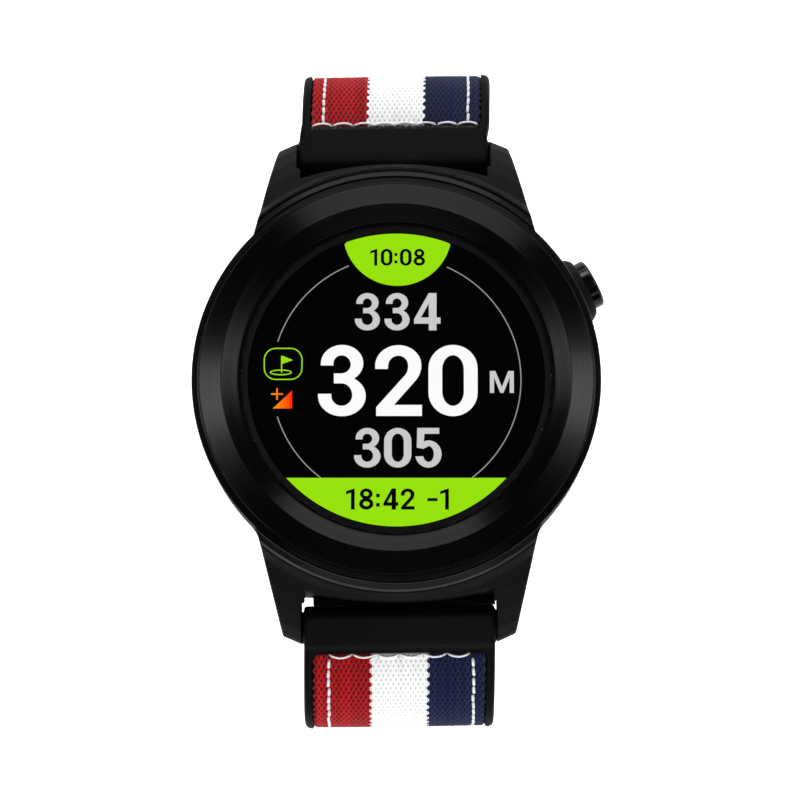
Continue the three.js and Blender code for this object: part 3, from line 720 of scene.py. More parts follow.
def case_shell():
    section_low, section_high = (0, -1.5), (33, 14)
    wall = OutlineField(CASE_WALL, section_low, section_high)
    lug_section = OutlineField(LUG_SECTION, section_low, section_high, step=0.03, arc_steps=4)
    lug_plan = OutlineField(LUG_PLAN, (-2, -2), (25, 33), arc_steps=5)
    bay = OutlineField(STRAP_BAY, (0, -2), (33, 14))
    cavity = OutlineField(CASE_CAVITY, section_low, section_high)
    guard = OutlineField(BUTTON_GUARD, (0, 15), (12, 27))
    bay_half, seat_radius, seat_z = 11.06, 23.12, 11.0
    bridge_radius, bridge_centre, bridge_half = 40.0, 15.1, 11.6
    pocket_radius, pocket_floor = 2.96, 22.7     # round the button
    bore_radius, bore_floor = 2.0, 19

    def field(x, y, z):
        r = span(x, y)
        ax, ay = np.abs(x), np.abs(y)
        # lugs, joined by a shallow arc, on the round wall
        bridge = np.sqrt(x * x + (ay + bridge_centre) ** 2) - bridge_radius
        bridge = np.maximum(np.maximum(bridge, ax - bridge_half), 10 - ay)
        lugs = soft_max(np.minimum(lug_plan(ax, ay), bridge), lug_section(r, z), blend=0.3)
        d = soft_min(wall(r, z), lugs, blend=0.55)
        # round guard, on the button side only
        out = x * BUTTON_COS + y * BUTTON_SIN
        rho = span(-x * BUTTON_SIN + y * BUTTON_COS, z - BUTTON_Z)
        by_button = out > 15
        d = np.where(by_button, soft_min(d, guard(rho, out), blend=0.7), d)
        d = soft_max(d, -soft_max(ax - bay_half, bay(ay, z), blend=0.45), blend=0.14)
        # step low in the bay wall, close to the strap's nose
        step = np.maximum(np.maximum(np.abs(x - 0.55) - 10.3, np.abs(ay - 23.0) - 1.58),
                          np.abs(z - 1.6) - 0.7)
        d = soft_min(d, step, blend=0.2)
        d = np.maximum(d, -np.maximum(r - seat_radius, seat_z - z))
        pocket = np.maximum(rho - pocket_radius, pocket_floor - out)
        d = np.where(by_button, soft_max(d, -pocket, blend=0.08), d)
        bore = np.maximum(rho - bore_radius, bore_floor - out)
        d = np.where(by_button, np.maximum(d, -bore), d)
        d = soft_max(d, -cavity(r, z), blend=0.1)
        # spring bar sockets and back screw holes
        socket = np.sqrt((ay - BAR_Y) ** 2 + (z - BAR_Z) ** 2) - 0.5
        d = np.maximum(d, -np.maximum(socket, np.abs(ax - 11.4) - 1.1))
        hole = span(ax - SCREW_OFFSET, ay - SCREW_OFFSET) - 0.7
        return np.maximum(d, -np.maximum(hole, np.abs(z - 2.0) - 1.6))

    ob = field_object("case_shell", field, (-24.6, -30.6, -0.4), (24.6, 30.6, 12.6),
                      cell_size(0.27))
    dress(ob, MATS["case"], "case", "mid_case", slot="case_plastic")


# rows of (radius, z, corner radius)
COLLAR_PROFILE = [(23.04, 11.2, 0), (24.0, 11.2, 0), (24.07, 11.63, 0.02),
                  (24.03, 11.68, 0.03), (23.73, 11.545, 0.01), (23.69, 11.545, 0.01),
                  (23.18, 11.83, 0.04), (23.04, 11.78, 0.01)]
# rows of (x, y, corner radius)
COLLAR_LUG_PLAN = [(-4, 10.0, 0), (15, 10.0, 0), (17.0, 12.5, 0), (15.4, 18.6, 4),
                   (13.3, 27.45, 0.6), (-4, 28, 0)]


def collars():
    """Metal step between the bezel and the lugs, ending at the lugs' outline."""
    profile = hold_edges(round_corners(COLLAR_PROFILE), 0.1, 0.02)
    lug = OutlineField(COLLAR_LUG_PLAN, (-2, -2), (25, 33))
    turn = np.linspace(math.radians(35), math.radians(60), 500)
    ends = []
    for r, _ in profile:
        distance = lug(r * np.cos(turn), r * np.sin(turn))
        ends.append(turn[int(np.argmax(distance < -0.02))])
    ends = np.array(ends)
    rows, columns = len(profile), 200
    t = np.linspace(0, 1, columns)
    angle = ends[:, None] + (math.pi - 2 * ends[:, None]) * t[None, :]
    verts = np.stack([profile[:, :1] * np.cos(angle), profile[:, :1] * np.sin(angle),
                      np.repeat(profile[:, 1:], columns, 1)], -1).reshape(-1, 3)
    i, j = np.meshgrid(np.arange(rows), np.arange(columns - 1), indexing="ij")
    k = (i + 1) % rows
    quads = np.stack([i * columns + j, i * columns + j + 1,
                      k * columns + j + 1, k * columns + j], -1).reshape(-1, 4)
    first = list(np.arange(rows) * columns)
    last = list(np.arange(rows) * columns + columns - 1)
    faces = quads.tolist() + [first, last[::-1]]
    for sign, name in ((1, "collar_12"), (-1, "collar_6")):
        ob = listed_object(name, verts * [sign, sign, 1] * MM, faces)
        for polygon in ob.data.polygons:
            polygon.use_smooth = len(polygon.vertices) == 4
        dress(ob, MATS["collar"], "case", slot="bezel_metal")


case_shell()
collars()

# ------------------------------------------------------------------ bezel, glass and panel
# rows of (radius, z, corner radius)
BEZEL_PROFILE = [(17.75, 11.15, 0.05), (22.75, 11.15, 0.05), (23.0, 11.4, 0.1),
                 (23.0, 11.78, 0.3), (22.33, 12.31, 0.04), (22.24, 12.34, 0.03),
                 (22.2, 12.33, 0.02), (22.09, 12.57, 0.08), (19.7, RIDGE_Z, 0.09),
                 (19.58, RIDGE_Z, 0.09), (17.84, 12.47, 0.08), (17.75, 12.40, 0.05)]
GLASS_THICKNESS = 1.2
PRINT_OUTER, PRINT_INNER = 17.4, 16.72     # printed ring just under the glass
PRINT_DROPS = (1.25, 1.22)                 # its two faces, below the glass top
GLASS_PROFILE = [(0, GLASS_TOP - GLASS_THICKNESS, 0), (17.4, GLASS_TOP - GLASS_THICKNESS, 0.02),
                 (17.5, GLASS_TOP - 1.1, 0.02), (17.5, GLASS_TOP - 0.16, 0.05),
                 (17.34, GLASS_TOP, 0.05), (0, GLASS_TOP, 0)]
PANEL_PROFILE = [(0, PANEL_BASE, 0), (PANEL_RADIUS, PANEL_BASE, 0.05),
                 (PANEL_RADIUS, PANEL_TOP, 0.05), (0, PANEL_TOP, 0)]


def display_stack():
    dress(lathe("bezel", round_corners(BEZEL_PROFILE, steps=5), 320),
          MATS["bezel"], "case", "bezel_ring", slot="bezel_metal")
    dress(lathe("cover_glass", round_corners(GLASS_PROFILE, closed=False), 256),
          MATS["glass"], "case", "lens_glass", slot="cover_glass")
    low, high = (GLASS_TOP - drop for drop in PRINT_DROPS)
    border = [(PRINT_INNER, low), (PRINT_OUTER, low), (PRINT_OUTER, high), (PRINT_INNER, high)]
    dress(lathe("border_print", border, 256, smooth=False),
          MATS["print"], "case", slot="display_black")
    dress(lathe("display_module", round_corners(PANEL_PROFILE, steps=2, closed=False), 256),
          MATS["panel"], "case", "display_panel", slot="display_black")


display_stack()


# ------------------------------------------------------------------ numeral outlines
# A glyph is a list of (outline, hole or None), with its left edge at x = 0, its baseline at
# y = 0 and the cap height as 1.
def arc_points(cx, cy, rx, ry, start, end, steps):
    """Arc of an ellipse, angles in degrees anticlockwise from +X."""
    angles = [math.radians(start + (end - start) * i / steps) for i in range(steps + 1)]
    return [(cx + rx * math.cos(a), cy + ry * math.sin(a)) for a in angles]


def traced(parts):
    """Glyph from parts that are points or (cx, cy, rx, ry, start, end) arcs."""
    out = []
    for part in parts:
        if len(part) == 2:
            out.append(part)
        else:
            steps = max(4, int(abs(part[5] - part[4]) / 6))
            out += arc_points(*part, steps)
    return [(out, None)]


def oval(cx, cy, rx, ry, straight, steps=15):
    """Closed oval: elliptical ends joined by upright straights."""
    return (arc_points(cx, cy + straight, rx, ry, 0, 180, steps)
            + arc_points(cx, cy - straight, rx, ry, 180, 360, steps))


THREE = traced([
    (0.038328, 0.710801), (0.334495, 0.738676, 0.296167, 0.261324, 180, 90),
    (0.334495, 0.742160, 0.292683, 0.257840, 90, -55),
    (0.334495, 0.282230, 0.327526, 0.282230, 56, -90),
    (0.327526, 0.285714, 0.327526, 0.285714, 270, 180), (0, 0.313589), (0.184669, 0.313589),
    (0.327526, 0.285714, 0.142857, 0.139373, 180, 270),
    (0.327526, 0.296167, 0.146341, 0.149826, -90, 0),
    (0.327526, 0.296167, 0.146341, 0.163763, 0, 90), (0.219512, 0.459930),
    (0.219512, 0.599303), (0.317073, 0.724739, 0.135889, 0.125436, -90, 0),
    (0.327526, 0.721254, 0.125436, 0.132404, 0, 90),
    (0.327526, 0.738676, 0.114983, 0.114983, 90, 180), (0.212544, 0.710801)])
TWO = traced([
    (0, 0.661972), (0.323944, 0.707746, 0.323944, 0.288732, 180, 90),
    (0.323944, 0.714789, 0.316901, 0.281690, 90, 0),
    (0.323944, 0.714789, 0.316901, 0.323944, 0, -40), (0.260563, 0.158451),
    (0.647887, 0.158451), (0.647887, 0.0035211), (0.0140845, 0.0035211),
    (0.0140845, 0.126761), (0.323944, 0.704225, 0.133803, 0.176056, -48, 0),
    (0.323944, 0.704225, 0.133803, 0.144366, 0, 90),
    (0.323944, 0.704225, 0.144366, 0.144366, 90, 180), (0.176056, 0.661972)])
FIVE = traced([
    (0.0516129, 1), (0.6, 1), (0.6, 0.851613), (0.232258, 0.851613), (0.212903, 0.632258),
    (0.335484, 0.341935, 0.322581, 0.341935, 112, -90),
    (0.329032, 0.341935, 0.329032, 0.341935, 270, 190), (0.187097, 0.283871),
    (0.335484, 0.322581, 0.135484, 0.180645, 190, 270),
    (0.335484, 0.341935, 0.129032, 0.2, -90, 90), (0.206452, 0.470968), (0.0387097, 0.503226)])
ZERO = [(oval(0.341, 0.5, 0.341, 0.33, 0.17, 19), oval(0.341, 0.5, 0.150, 0.20, 0.155, 19))]
ONE = traced([(0.235, 0.0), (0.41, 0.0), (0.41, 1.0), (0.39, 1.0), (0.0, 0.865), (0.0, 0.725),
              (0.235, 0.80)])
FOUR = [([(0.39, 1.0), (0.0, 0.30), (0.0, 0.18), (0.39, 0.18), (0.39, 0.0), (0.595, 0.0),
          (0.595, 0.18), (0.70, 0.18), (0.70, 0.345), (0.595, 0.345), (0.595, 1.0)],
         [(0.39, 0.345), (0.18, 0.345), (0.39, 0.715)])]
EIGHT = [(oval(0.336, 0.745, 0.295, 0.255, 0.0), oval(0.336, 0.745, 0.125, 0.105, 0.0)),
         (oval(0.336, 0.275, 0.336, 0.275, 0.0), oval(0.336, 0.275, 0.155, 0.115, 0.0))]
LETTER_M = traced([(0, 0), (0.19, 0), (0.19, 0.62), (0.17, 0.75), (0.47, 0.0), (0.61, 0.0),
                   (0.91, 0.75), (0.89, 0.62), (0.89, 0), (1.08, 0), (1.08, 1), (0.83, 1),
                   (0.54, 0.27), (0.25, 1), (0, 1)])
COLON = [([(0, 0.14), (0.17, 0.14), (0.17, 0.31), (0, 0.31)], None),
         ([(0, 0.58), (0.17, 0.58), (0.17, 0.75), (0, 0.75)], None)]
DASH = traced([(0, 0.40), (0.48, 0.40), (0.48, 0.545), (0, 0.545)])

# ------------------------------------------------------------------ display picture
MARK_Z = PANEL_TOP + 0.02
TOP_MARK_Z = MARK_Z + 0.02         # marks that lie on the green fields
LIT_RADIUS = 16.62                 # edge of the lit picture
BAND_Y = -11.154702                # top of the green segment at six o'clock
BADGE_X, BADGE_Y, BADGE_RADIUS = 0.1232, 16.771689, 6.1264
MAIN_BASELINE = -4.190091
RING_RADIUS, RING_WIDTH = 14.0, 0.12
RING_GAP_X, RING_GAP_TOP = -13.2496, 4.246714    # the left gap starts at the main baseline
RING_TOP_ENDS = (66.0, 112.5)      # degrees, either side of the badge


def plate(outline, hole, z):
    """Thin flat mesh, in metres, that fills an outline around a hole."""
    curve = bpy.data.curves.new("plate", "CURVE")
    curve.dimensions = "2D"
    curve.fill_mode = "BOTH"
    for loop in (outline, hole):
        if loop is None:
            continue
        spline = curve.splines.new("POLY")
        spline.points.add(len(loop) - 1)
        for point, (x, y) in zip(spline.points, loop):
            point.co = (x * MM, y * MM, 0, 1)
        spline.use_cyclic_u = True
    curve.extrude = 0.005 * MM
    ob = add_object("plate", curve)
    depsgraph = bpy.context.evaluated_depsgraph_get()
    mesh = bpy.data.meshes.new_from_object(ob.evaluated_get(depsgraph))
    bpy.data.objects.remove(ob)
    mesh.transform(Matrix.Translation((0, 0, z * MM)))
    return mesh


def marks(name, shapes, mat, z=MARK_Z):
    """One object of flat shapes, each (outline, hole or None), turned by the display roll."""
    verts, faces, offset = [], [], 0
    for mesh in [plate(outline, hole, z) for outline, hole in shapes]:
        coords = np.empty(len(mesh.vertices) * 3, np.float32)
        mesh.vertices.foreach_get("co", coords)
        verts.append(coords.reshape(-1, 3))
        faces += [[v + offset for v in polygon.vertices] for polygon in mesh.polygons]
        offset += len(mesh.vertices)
    ob = listed_object(name, np.vstack(verts), faces)
    ob.data.transform(Matrix.Rotation(-DISPLAY_ROLL, 4, "Z"))
    dress(ob, mat, "case", slot="display_black")


def text(name, glyphs, lefts, baseline, height, mat, z=MARK_Z):
    def placed(loop, left):
        return loop and [(left + x * height, baseline + y * height) for x, y in loop]

    shapes = [(placed(outline, left), placed(hole, left))
              for glyph, left in zip(glyphs, lefts) for outline, hole in glyph]
    marks(name, shapes, mat, z)


def spaced(start, height, advances):
    """Left edges of a line of glyphs; advances are in cap heights."""
    return accumulate((advance * height for advance in advances), initial=start)


def numerals():
    white = lit("numerals_white", srgb(253, 253, 253))
    grey = lit("numerals_grey", srgb(204, 204, 204))
    # name, glyphs, left edges, baseline, cap height, material
    for row in (
            ("numerals_main", [THREE, TWO, ZERO], (-8.792, -2.3744, 3.6064),
             MAIN_BASELINE, 8.097068, white),
            ("numerals_upper", [THREE, THREE, FOUR], (-4.6704, -1.3328, 1.9936),
             5.560364, 4.258038, grey),
            ("numerals_lower", [THREE, ZERO, FIVE], (-4.7376, -1.3664, 2.1168),
             -9.999596, 4.484530, grey),
            ("unit_mark", [LETTER_M], (10.5056,), -1.551466, 2.491405, grey)):
        text(*row)


def green_fields(green):
    """Segment at six o'clock, and the round badge at twelve cut off by the lit edge."""
    half = math.degrees(math.acos(-BAND_Y / LIT_RADIUS))
    segment = arc_points(0, 0, LIT_RADIUS, LIT_RADIUS, 270 - half, 270 + half, 96)
    badge = arc_points(BADGE_X, BADGE_Y, BADGE_RADIUS, BADGE_RADIUS, 180, 360, 96)
    badge = [point for point in badge if math.hypot(*point) < LIT_RADIUS]
    start = math.atan2(badge[-1][1], badge[-1][0])
    end = math.atan2(badge[0][1], badge[0][0])
    edge = [start + (end - start) * i / 40 for i in range(1, 40)]
    badge += [(LIT_RADIUS * math.cos(a), LIT_RADIUS * math.sin(a)) for a in edge]
    marks("green_fields", [(segment, None), (badge, None)], green)


def field_numerals():
    black = lit("numerals_black", (0.0, 0.0, 0.0), strength=0.0)
    height = 1.925177
    text("badge_numerals", [ONE, ZERO, COLON, ZERO, EIGHT],
         spaced(-2.9456, height, (0.62, 0.80, 0.32, 0.80)), 12.943984, height, black,
         TOP_MARK_Z)
    height = 2.378160
    text("band_numerals", [ONE, EIGHT, COLON, FOUR, TWO, DASH, ONE],
         spaced(-5.6336, height, (0.62, 0.80, 0.34, 0.82, 1.25, 0.60)), -14.733266, height,
         black, TOP_MARK_Z)


def dial_ring():
    """Thin ring in three arcs, broken at the badge, the green segment and on the left."""
    outer, inner = RING_RADIUS + RING_WIDTH / 2, RING_RADIUS - RING_WIDTH / 2

    def thin_arc(start, end, steps=64):
        return (arc_points(0, 0, outer, outer, start, end, steps)
                + arc_points(0, 0, inner, inner, end, start, steps), None)

    gap_top = math.degrees(math.atan2(RING_GAP_TOP, RING_GAP_X))
    gap_low = 360 + math.degrees(math.atan2(MAIN_BASELINE, RING_GAP_X))
    low = math.degrees(math.asin(-BAND_Y / RING_RADIUS))
    top_right, top_left = RING_TOP_ENDS
    marks("dial_ring", [thin_arc(top_left, gap_top), thin_arc(gap_low, 180 + low),
                        thin_arc(-low, top_right, 128)],
          lit("ring_grey", srgb(150, 150, 150)))


def rectangle(x0, y0, x1, y1):
    return [(x0, y0), (x1, y0), (x1, y1), (x0, y1)]


def flag_mark(green):
    """Rounded frame around a flag that stands on a flat oval."""
    left, right, low, high = -14.9072, -10.5392, -0.079272, 3.578564
    line, corner = 0.13, 1.35

    def frame_loop(inset):
        r = corner - inset
        x0, x1, y0, y1 = left + inset, right - inset, low + inset, high - inset
        loop = []
        for cx, cy, start in ((x1 - r, y1 - r, 0), (x0 + r, y1 - r, 90),
                              (x0 + r, y0 + r, 180), (x1 - r, y0 + r, 270)):
            loop += arc_points(cx, cy, r, r, start, start + 90, 10)
        return loop

    pole_x, pole_y, pole_height = -12.9584, 0.758746, 1.9
    tip_x, tip_y = -12.824, 2.683923
    oval_x, oval_y = -12.9696, 0.781395
    marks("flag_mark", [
        (frame_loop(0), frame_loop(line)),
        (rectangle(pole_x, pole_y, pole_x + line, pole_y + pole_height), None),
        ([(tip_x, tip_y), (tip_x + 1.2, tip_y - 0.5), (tip_x, tip_y - 0.95)], None),
        (arc_points(oval_x, oval_y, 1.25, 0.34, 0, 360, 24)[:-1],
         arc_points(oval_x, oval_y, 1.08, 0.20, 0, 360, 24)[:-1])], green)


def slope_mark():
    """Triangle rising to the right, with a plus sign over its low end."""
    left, low, right, high = -13.8768, -3.318099, -11.6816, -1.257027
    plus_x, plus_y, plus_width, plus_half, line_half = -14.056, -1.676036, 1.33, 0.67, 0.09
    glow = lit("slope_glow", srgb(255, 150, 20), second=srgb(255, 20, 0), ends=(left, right))
    marks("slope_mark", [
        ([(left, low), (right, low), (right, high)], None),
        (rectangle(plus_x, plus_y - line_half, plus_x + plus_width, plus_y + line_half), None),
        (rectangle(plus_x + 0.575, plus_y - plus_half, plus_x + 0.755, plus_y + plus_half),
         None)], glow)


numerals()
lit_green = lit("lit_green", srgb(151, 228, 14))
green_fields(lit_green)
field_numerals()
dial_ring()
flag_mark(lit_green)
slope_mark()

# ------------------------------------------------------------------ back of the watch
# rows of (radius, z, corner radius)
BACK_PROFILE = [(-5, 0, 0), (17.0, 0, 3.0), (19.6, 0.75, 0.4), (19.9, 1.05, 0.2),
                (19.9, 1.6, 0.1), (-5, 1.6, 0)]
PIN_PITCH, PIN_Y = 2.54, 11.8
PIN_X = [-3.81, -1.27, 1.27, PIN_PITCH * 1.5]


def back_plate():
    profile = OutlineField(BACK_PROFILE, (0, -1), (22, 3), step=0.04)

    def field(x, y, z):
        d = profile(span(x, y), z)
        screw = span(np.abs(x) - SCREW_OFFSET, np.abs(y) - SCREW_OFFSET)
        d = soft_max(d, -np.maximum(screw - 1.38, z - 1.05), blend=0.12)
        d = np.maximum(d, -(screw - 0.75))
        for pin_x in PIN_X:
            d = soft_max(d, -(span(x - pin_x, y - PIN_Y) - 0.95), blend=0.1)
        # shallow oval dish around the charging pins
        beyond = np.maximum(np.abs(x) - 4.2, 0)
        dish = span(beyond, y - PIN_Y) - 1.75
        return soft_max(d, -np.maximum(dish, z - 0.22), blend=0.2)

    ob = field_object("back_plate", field, (-20.4, -20.4, -0.5), (20.4, 20.4, 2.1),
                      cell_size((0.35, 0.35, 0.2)))
    dress(ob, MATS["back"], "case", "back_cover", slot="back_plastic")


def back_screw(number):
    """Screw with a cross recess in its head, which faces down."""
    low, high = mm_box(f"back_screw_{number}")
    cx, cy = (low[0] + high[0]) / 2, (low[1] + high[1]) / 2
    z0, z1 = low[2], high[2]
    head_radius, head_height, shank_radius = 1.1, 0.48, 0.55
    arm_half, arm_reach, recess_depth = 0.15, 0.62, 0.3

    def field(x, y, z):
        u, v = x - cx, y - cy
        r = span(u, v)
        head = soft_max(r - head_radius, np.maximum(z0 - z, z - (z0 + head_height)), blend=0.15)
        shank = np.maximum(r - shank_radius, np.maximum(z0 + 0.2 - z, z - z1))
        u, v = np.abs(u), np.abs(v)
        arms = np.minimum(np.maximum(u - arm_half, v - arm_reach),
                          np.maximum(v - arm_half, u - arm_reach))
        recess = np.maximum(arms, z - (z0 + recess_depth))
        return soft_max(np.minimum(head, shank), -recess, blend=0.06)

    ob = field_object(f"screw_{number}", field, (cx - 1.3, cy - 1.3, z0 - 0.2),
                      (cx + 1.3, cy + 1.3, z1 + 0.2), 0.075)
    dress(ob, MATS["screw"], "case", f"back_screw_{number}", slot="screw_steel")


def charge_pin(number):
    low, high = mm_box(f"charge_pin_{number}")
    centre = ((low[0] + high[0]) / 2, (low[1] + high[1]) / 2)
    # rows of (radius, z, corner radius)
    profile = [(0, low[2], 0), (0.75, low[2], 0.25), (0.75, 1.7, 0.02), (1.05, 1.7, 0.05),
               (1.05, 2.1, 0.05), (0.5, 2.1, 0.02), (0.5, high[2], 0.1), (0, high[2], 0)]
    ob = lathe(f"contact_{number}", round_corners(profile, closed=False), 32, centre=centre)
    dress(ob, MATS["gold"], "case", f"charge_pin_{number}", slot="contact_gold")


back_plate()
for number in range(1, 5):
    back_screw(number)
    charge_pin(number)

# ------------------------------------------------------------------ push button
# rows of (radius, place along the button axis, corner radius)
BUTTON_PROFILE = [(0, 24.2, 0), (2.0, 24.2, 0.1), (2.0, 23.3, 0.1), (2.8, 23.3, 0.08),
                  (2.8, 25.05, 0.08), (2.55, 25.3, 0.08), (2.3, 25.26, 0.05), (0, 25.26, 0)]


def push_button():
    ob = lathe("push_button", round_corners(BUTTON_PROFILE, steps=4, closed=False), 128)
    # local Z runs out along the button axis
    ob.data.transform(Matrix(((-BUTTON_SIN, 0, BUTTON_COS, 0), (BUTTON_COS, 0, BUTTON_SIN, 0),
                              (0, 1, 0, BUTTON_Z * MM), (0, 0, 0, 1))))
    ob.data.update()
    dress(ob, MATS["button"], "button", "button_cap", slot="button_metal")


push_button()

# ------------------------------------------------------------------ strap frame
# A strap is shaped in (x, s, n): across, along from the spring bar, and out of its outer
# face. Side is 1 for the twelve o'clock strap and -1 for the six o'clock one.
# rows of (s, degrees that the strap points below the horizontal)
STRAP_SLOPE = np.array([(0, 0), (3.5, 8), (8.4, 38), (12.8, 66), (15.4, 84), (17.6, 97),
                        (42, 116), (400, 116)], float)
BAR_DROP = 2.3                     # spring bar axis below the outer face
UPPER_LENGTH, LOWER_LENGTH = 72.0, 117.0
FABRIC_START = 3.5
UPPER_FABRIC_END, LOWER_FABRIC_END = 66.0, LOWER_LENGTH - 7.0
HOLE_START, HOLE_PITCH, LAST_HOLE = 52.0, 6.5, 8


def slope_at(s):
    return np.radians(np.interp(s, STRAP_SLOPE[:, 0], STRAP_SLOPE[:, 1]))


WALK_STEP = 0.05
walk_s = np.arange(0, 2700) * WALK_STEP
walk_slope = slope_at(walk_s + WALK_STEP / 2)
walk_y = BAR_Y + np.concatenate([[0], np.cumsum(np.cos(walk_slope) * WALK_STEP)[:-1]])
walk_z = (BAR_Z + BAR_DROP) - np.concatenate(
    [[0], np.cumsum(np.sin(walk_slope) * WALK_STEP)[:-1]])


def strap_point(x, s, n, side):
    """Strap coordinates to watch coordinates."""
    slope = slope_at(s)
    y = np.interp(s, walk_s, walk_y) + np.minimum(s, 0) + n * np.sin(slope)
    z = np.interp(s, walk_s, walk_z) + n * np.cos(slope)
    # each strap sits a little off centre over its bend
    if side > 0:
        shift = np.interp(s, [2.6, 4.5, 12, 28, 44], [0.0, 0.3, 0.5, 0.5, 0.0])
    else:
        shift = np.interp(s, [2.6, 12, 28, 44], [0.0, -0.15, -0.15, 0.0])
    return np.stack([x * side + shift, y * side, z], -1)


def on_strap(side):
    """Placing for field_object that lays a piece along a strap."""
    def placing(points, normals, corners):
        slope = slope_at(corners[:, 1])
        y = normals[:, 1] * np.cos(slope) + normals[:, 2] * np.sin(slope)
        z = -normals[:, 1] * np.sin(slope) + normals[:, 2] * np.cos(slope)
        return (strap_point(points[:, 0], points[:, 1], points[:, 2], side),
                np.stack([normals[:, 0] * side, y * side, z], -1))

    return placing


def strap_thickness(s):
    return np.interp(s, [0, 6, 16, 40], [3.4, 3.2, 2.8, 2.6])


def strap_half_width(s):
    return np.interp(s, [0, 18, 42], [10.8, 10.8, 10.0])


def fabric_half_width(s):
    return np.interp(s, [0, 18, 42], [9.7, 9.7, 8.9])


def from_hole(s):
    """Distance along the strap from the nearest buckle hole."""
    k = np.clip(np.round((s - HOLE_START) / HOLE_PITCH), 0, LAST_HOLE)
    return s - HOLE_START - HOLE_PITCH * k


# ------------------------------------------------------------------ strap rubber
def strap_field(length, fabric_end, tail):
    """Rubber band; with a tail it has a rounded tip and holes, without one a buckle end."""
    pocket_end = fabric_end + 0.1
    pocket_mid, pocket_half = (FABRIC_START + pocket_end) / 2, (pocket_end - FABRIC_START) / 2
    pocket_depth, pocket_corner = 0.72, 0.9
    tube_half, nose_half = 10.8, 11.045
    tip_length = 8.0
    pin_drop = 1.3                 # buckle pin axis below the outer face

    def field(x, s, n):
        ax = np.abs(x)
        thickness = strap_thickness(s)
        half = strap_half_width(s)
        if tail:
            e = np.maximum(s - (length - tip_length), 0)
            round_tip = (np.sqrt((e / tip_length) ** 2 + (ax / 10.0) ** 2.6) - 1) * 7.0
            plan = np.where(s > length - tip_length, np.maximum(round_tip, ax - half),
                            ax - half)
        else:
            plan = np.maximum(ax - half, s - (length - 1.0))
        plan = np.maximum(plan, -s - 0.9)
        body = soft_max(plan, np.abs(n + thickness / 2) - thickness / 2, blend=0.9)
        # tube around the spring bar, and a longer nose that reaches the lugs
        from_bar = np.sqrt(s * s + (n + BAR_DROP) ** 2)
        d = soft_min(body, soft_max(from_bar - 2.05, ax - tube_half, blend=0.5), blend=0.7)
        nose = np.sqrt(np.maximum(np.abs(s - 0.5) - 0.5, 0) ** 2 + (n + 2.6) ** 2)
        d = np.minimum(d, soft_max(nose - 1.42, ax - nose_half, blend=0.06))
        from_pin = np.sqrt((s - length) ** 2 + (n + pin_drop) ** 2)
        if not tail:
            d = soft_min(d, soft_max(from_pin - 1.9, ax - 10.0, blend=0.5), blend=0.7)
        # pocket that holds the fabric
        pocket = rounded_box(ax - (fabric_half_width(s) + 0.12),
                             np.abs(s - pocket_mid) - pocket_half, pocket_corner)
        d = soft_max(d, -soft_max(pocket, -pocket_depth - n, blend=0.15), blend=0.22)
        # spring bar bore and release slot
        d = np.maximum(d, 0.93 - from_bar)
        slot = np.maximum(np.maximum(np.abs(x - 7.65) - 1.75, np.abs(s) - 0.8), n + BAR_DROP)
        d = soft_max(d, -slot, blend=0.15)
        if tail:
            return soft_max(d, 1.22 - span(x, from_hole(s)), blend=0.25)
        # pin bore, and the notch for the buckle tongue
        d = np.maximum(d, 0.96 - from_pin)
        return soft_max(d, -np.maximum(ax - 1.75, (length - 4.3) - s), blend=0.2)

    return field


def strap_band(name, body, side, length, fabric_end, node):
    tail = side < 0
    ob = field_object(name, strap_field(length, fabric_end, tail), (-11.4, -3.2, -5.2),
                      (11.4, length + (0.6 if tail else 2.6), 0.6),
                      cell_size((0.36, 0.36, 0.3)), on_strap(side))
    dress(ob, MATS["rubber"], body, node, slot="strap_rubber")


strap_band("strap_band_12", "upper_strap", 1, UPPER_LENGTH, UPPER_FABRIC_END,
           "upper_strap_rubber")
strap_band("strap_band_6", "lower_strap", -1, LOWER_LENGTH, LOWER_FABRIC_END,
           "lower_strap_rubber")

# ------------------------------------------------------------------ woven fabric
# warp yarns run along the strap, weft picks cross it
YARN, PICK = 0.28, 0.56
FABRIC_HALF = 9.66
STRIPE_EDGE = FABRIC_HALF / 3
RED, WHITE, NAVY, BOUND = 0, 1, 2, 3     # values of the stripe attribute


def stripe_at(x):
    return np.where(x < -STRIPE_EDGE, RED, np.where(x < STRIPE_EDGE, WHITE, NAVY))


